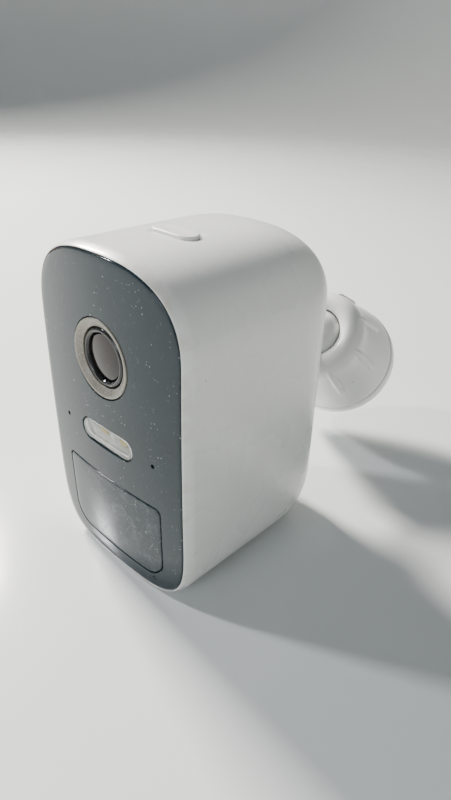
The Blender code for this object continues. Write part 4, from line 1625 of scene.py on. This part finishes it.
@dataclass
class WallMount:
    """The base on the wall and the collar that clamps the ball.

    Heights are measured from the ball centre along the mount's axis to the wall.
    """

    base_radius: float = 21.9
    base_front: float = 26.0
    base_back: float = 31.5
    post: float = 13.5
    post_foot: float = 2.6
    thread_turns: int = 6
    thread_pitch: float = 2.0
    thread_depth: float = 0.5
    socket: float = 11.8
    well: Point = (7.0, 15.0)
    screw_circle: float = 16.8
    screw_hole: float = 2.2
    screws: int = 3
    collar_foot: Point = (21.35, 25.6)
    collar_bore: float = 13.9
    nose: Point = (5.0, 7.15)
    nose_radius: float = 11.5
    shoulder: float = 1.4
    skirt: Point = (19.9, 17.5)
    grips: int = 8
    grip_start: float = math.radians(21.0)
    rib_span: Point = (-3.4, 14.8)
    rib_width: float = 3.0
    rib_height: float = 0.95
    rib_sunk: float = 0.6
    rib_rise: float = 0.32
    rib_fall: float = 0.07

    def set(self, body: bmesh.types.BMesh) -> bmesh.types.BMesh:
        """Put a body made about Z on the mount's axis, at the ball centre."""
        return facing(body, joint_point("base_roll"), joint_axis("base_roll"))

    def make_base(self, finishes: Finishes) -> None:
        """Make the base: socket, threaded post, disc and its three screw holes.

        Args:
            finishes: The camera's finishes.
        """
        outer, front, back = self.base_radius, self.base_front, self.base_back
        rim, root = math.acos(self.post_foot / self.socket), self.post - self.thread_depth
        profile: list[Sequence[float]] = [(0, self.socket, 0)]
        for step in range(1, 15):
            angle = rim * step / 14
            profile.append((self.socket * math.sin(angle), self.socket * math.cos(angle), 0))
        profile += [(self.post - 0.4, self.post_foot, 0.1), (self.post, 3.0, 0.1)]
        for turn in range(self.thread_turns):
            height = 4.5 + self.thread_pitch * turn
            profile += [(self.post, height, 0.1), (root, height + 0.5, 0.1),
                        (root, height + 1.0, 0.1), (self.post, height + 1.5, 0.1)]
        profile += [
            (self.post, front, 0.3), (outer - 0.35, front, 0.5), (outer, front + 1.3, 0.5),
            (outer, back - 0.4, 0.35), (outer - 0.5, back, 0.35), (19.9, back, 0),
            (19.7, back - 0.35, 0.1), (19.2, back - 0.35, 0.1), (19.0, back, 0),
            (self.well[0] + 0.9, back, 0.3), (self.well[0], back - 0.9, 0.3), (*self.well, 0.4),
            (0, self.well[1], 0)]
        hole = self.screw_hole
        screw = filleted([
            (0, front - 1, 0), (hole + 1.7, front - 1, 0), (hole + 1.5, front + 0.4, 0),
            (hole, front + 1.9, 0), (hole, back + 1, 0), (0, back + 1, 0)], looped=False)
        holes = []
        for index in range(self.screws):
            angle = math.pi / 6 + index * math.tau / self.screws
            place = (self.screw_circle * math.cos(angle), self.screw_circle * math.sin(angle), 0)
            holes.append(facing(spun(screw, 40), place, UPWARDS))
        body = worked(Cut.AWAY, spun(filleted(profile, 3, False), 128), holes)
        store("wall_plate", self.set(body), finishes.mount, "base", Slot.WHITE, ["wall_base"])

    def flank(self, height: float) -> float:
        """Follow the collar's nose and cone.

        Args:
            height: A height on the mount's axis.

        Returns:
            The collar's outer radius there.
        """
        if height < self.shoulder:
            share = (self.shoulder - height) / self.nose[1]
            return self.nose_radius + self.nose[0] * math.sqrt(1 - share ** 2)
        start = self.nose_radius + self.nose[0]
        share = (height - self.shoulder) / (self.skirt[1] - self.shoulder)
        return start + (self.skirt[0] - start) * share

    def rib(self, turn: float, steps: int = 20) -> bmesh.types.BMesh:
        """Make one soft grip rib, swelling out of the nose and ending above the skirt.

        Args:
            turn: Where it lies round the collar, in radians.
            steps: How many pieces its length is drawn in.

        Returns:
            The closed rib.
        """
        rings = []
        for step in range(steps + 1):
            share = step / steps
            height = self.rib_span[0] + (self.rib_span[1] - self.rib_span[0]) * share
            rise, fall = share / self.rib_rise, (1 - share) / self.rib_fall
            swell = math.sin(math.pi / 2 * min(1.0, rise, fall))
            tall = self.rib_sunk - 0.15 + (self.rib_height + 0.15) * swell
            wide = 0.5 + (self.rib_width / 2 - 0.5) * swell
            centre = self.flank(height) - self.rib_sunk
            rings.append([Vector((centre + tall * math.cos(angle), wide * math.sin(angle), height))
                          for angle in (index * math.tau / 28 for index in range(28))])
        body = lofted(rings)
        round_axis = Matrix.Rotation(turn, 3, "Z")
        bmesh.ops.rotate(body, cent=(0, 0, 0), matrix=round_axis, verts=body.verts)
        return body

    def make_collar(self, finishes: Finishes) -> None:
        """Make the collar: rounded lip, flank, skirt and raised grip ribs.

        Args:
            finishes: The camera's finishes.
        """
        profile = superarc((self.nose_radius, -3.9), (2.75, 1.85), math.pi, 8)
        profile += superarc((self.nose_radius, self.shoulder), self.nose, 1.5 * math.pi, 16)[1:]
        outer, foot = self.collar_foot
        profile += filleted([
            (self.nose_radius + self.nose[0], self.shoulder, 0), (16.95, 4.6, 1.5),
            (*self.skirt, 3.0), (outer, foot - 1.2, 0.6), (outer, foot, 0.35), (20.0, foot, 0.2),
            (19.3, 21.0, 1.0), (18.0, 16.5, 0.6), (self.collar_bore, 15.5, 0.3),
            (self.collar_bore, 0.4, 0.4), (12.6, -1.2, 0.4), (9.6, -2.7, 0.3), (8.75, -3.9, 0)],
            6, False)[1:-1]
        ribs = [self.rib(self.grip_start + index * math.tau / self.grips)
                for index in range(self.grips)]
        body = worked(Cut.ON, spun(profile, 160), ribs)
        store("twist_collar", self.set(body), finishes.mount, "collar", Slot.WHITE, ["lock_collar"])


# ---------------------------------------------------------------- studio


@dataclass
class Studio:
    """Pale floor, soft lights and the camera."""

    place: tuple[float, float, float] = (112.26, -104.59, 131.06)
    azimuth: float = math.radians(43.017)
    elevation: float = math.radians(29.514)
    roll: float = math.radians(1.666)
    lens: float = 26.9
    floor_radius: float = 1.9
    floor_drop: float = 0.0002
    floor_curve: float = 0.7
    wall_height: float = 1.3
    middle: tuple[float, float, float] = (0.0, 0.02, 0.045)
    glow: float = 0.17

    def make_floor(self) -> None:
        """Make a round floor that curves up into its own backdrop."""
        body = spun(filleted([
            (0, -self.floor_drop, 0), (self.floor_radius, -self.floor_drop, self.floor_curve),
            (self.floor_radius, self.wall_height, 0)], 16, False))
        bmesh.ops.reverse_faces(body, faces=body.faces)
        mesh = bpy.data.meshes.new("floor")
        body.to_mesh(mesh)
        body.free()
        mesh.shade_smooth()
        mesh.materials.append(StudioFloor().build())
        floor = bpy.data.objects.new("floor", mesh)
        bpy.context.scene.collection.objects.link(floor)

    def add_light(self, name: str, toward: Sequence[float], distance: float, size: float,
                  power: float, colour: str) -> None:
        """Hang a square soft light that looks at the camera body.

        Args:
            name: The light's name.
            toward: The direction from the object to the light.
            distance: How far away it hangs, in metres.
            size: The length of its side, in metres.
            power: Its power, in watts.
            colour: Its colour as #RRGGBB.
        """
        data = bpy.data.lights.new(name, "AREA")
        data.size = size
        data.energy = power
        data.color = srgb(colour)[:3]
        light = bpy.data.objects.new(name, data)
        direction = Vector(toward).normalized()
        light.location = Vector(self.middle) + direction * distance
        light.rotation_mode = "QUATERNION"
        light.rotation_quaternion = direction.to_track_quat("Z", "Y")
        bpy.context.scene.collection.objects.link(light)

    def make_lights(self) -> None:
        """Hang the key light and the two soft lights over the front, and set the room's glow."""
        self.add_light("key_light", (-0.80, 0.10, 0.60), 1.10, 0.20, 42.0, "#FFF9F0")
        self.add_light("front_lamp", (-0.671, -0.390, 0.630), 0.897, 0.07, 5.5, "#FBFCFF")
        self.add_light("front_softbox", (0.12, -0.95, 0.42), 1.30, 0.55, 5.0, "#F0F5FF")
        world = bpy.data.worlds.new("room")
        bpy.context.scene.world = world
        world.use_nodes = True
        glow = world.node_tree.nodes["Background"]
        glow.inputs["Color"].default_value = srgb("#DCE4EA")
        glow.inputs["Strength"].default_value = self.glow

    def make_camera(self) -> None:
        """Set up the camera at the object's own viewing angle."""
        flat = math.cos(self.elevation)
        back = Vector((math.sin(self.azimuth) * flat, -math.cos(self.azimuth) * flat,
                       math.sin(self.elevation)))
        side = (-back).cross(UPWARDS).normalized()
        up = side.cross(-back)
        cosine, sine = math.cos(self.roll), math.sin(self.roll)
        axes = Matrix((cosine * side + sine * up, cosine * up - sine * side, back)).transposed()
        data = bpy.data.cameras.new("camera")
        data.lens = self.lens
        data.clip_start = 0.01
        camera = bpy.data.objects.new("camera", data)
        camera.matrix_world = Matrix.Translation(Vector(self.place) * MM) @ axes.to_4x4()
        bpy.context.scene.collection.objects.link(camera)
        bpy.context.scene.camera = camera


def dress_inner_parts(finishes: Finishes) -> None:
    """Finish the nodes of the frame that keep their own shape.

    Args:
        finishes: The camera's finishes.
    """
    screws = [f"board_screw_{row}_{side}"
              for row in ("lower", "upper") for side in ("left", "right")]
    dress(finishes.black, "lens_holder", "pir_holder", "chassis", "battery_cradle", "speaker",
          "sync_switch", "clamp_ring", "ir_led_left", "ir_led_right")
    dress(finishes.frosted, "light_sensor", "status_light_pipe", "status_led", "switch_plunger")
    dress(finishes.rubber, "front_seal", "microphone_boot", "speaker_gasket", "button_seal")
    dress(finishes.grey_rubber, "ball_seat")
    dress(finishes.board, "led_board", "ir_board", "sensor_board", "pir_board", "main_board",
          "switch_board", "port_board", "wifi_antenna")
    dress(finishes.steel, "image_sensor", "pir_sensor", "microphone", "usb_port",
          "battery_link_top", "battery_link_bottom", *screws)
    dress(finishes.brass, "mount_insert")
    dress(finishes.wrap, "battery_cell_left", "battery_cell_right")


def main() -> None:
    """Build the studio, then every sub-assembly in order."""
    logging.basicConfig(level=logging.INFO, format="%(message)s")
    studio = Studio()
    studio.make_camera()
    studio.make_floor()
    studio.make_lights()
    finishes = Finishes()
    housing, front, lens, spot = Housing(), FrontPanel(), LensModule(), Spotlight()
    button, port, stud, mount = SyncButton(), ChargingPort(), Stud(), WallMount()
    housing.make_shell(finishes, button, port, stud)
    front.make(housing, finishes, lens, spot)
    front.make_window(housing, finishes)
    lens.make(finishes)
    spot.make(housing, finishes)
    button.make(housing, finishes)
    port.make(housing.depth, finishes)
    stud.make(housing.depth, finishes)
    mount.make_base(finishes)
    mount.make_collar(finishes)
    dress_inner_parts(finishes)


if __name__ == "__main__":
    main()
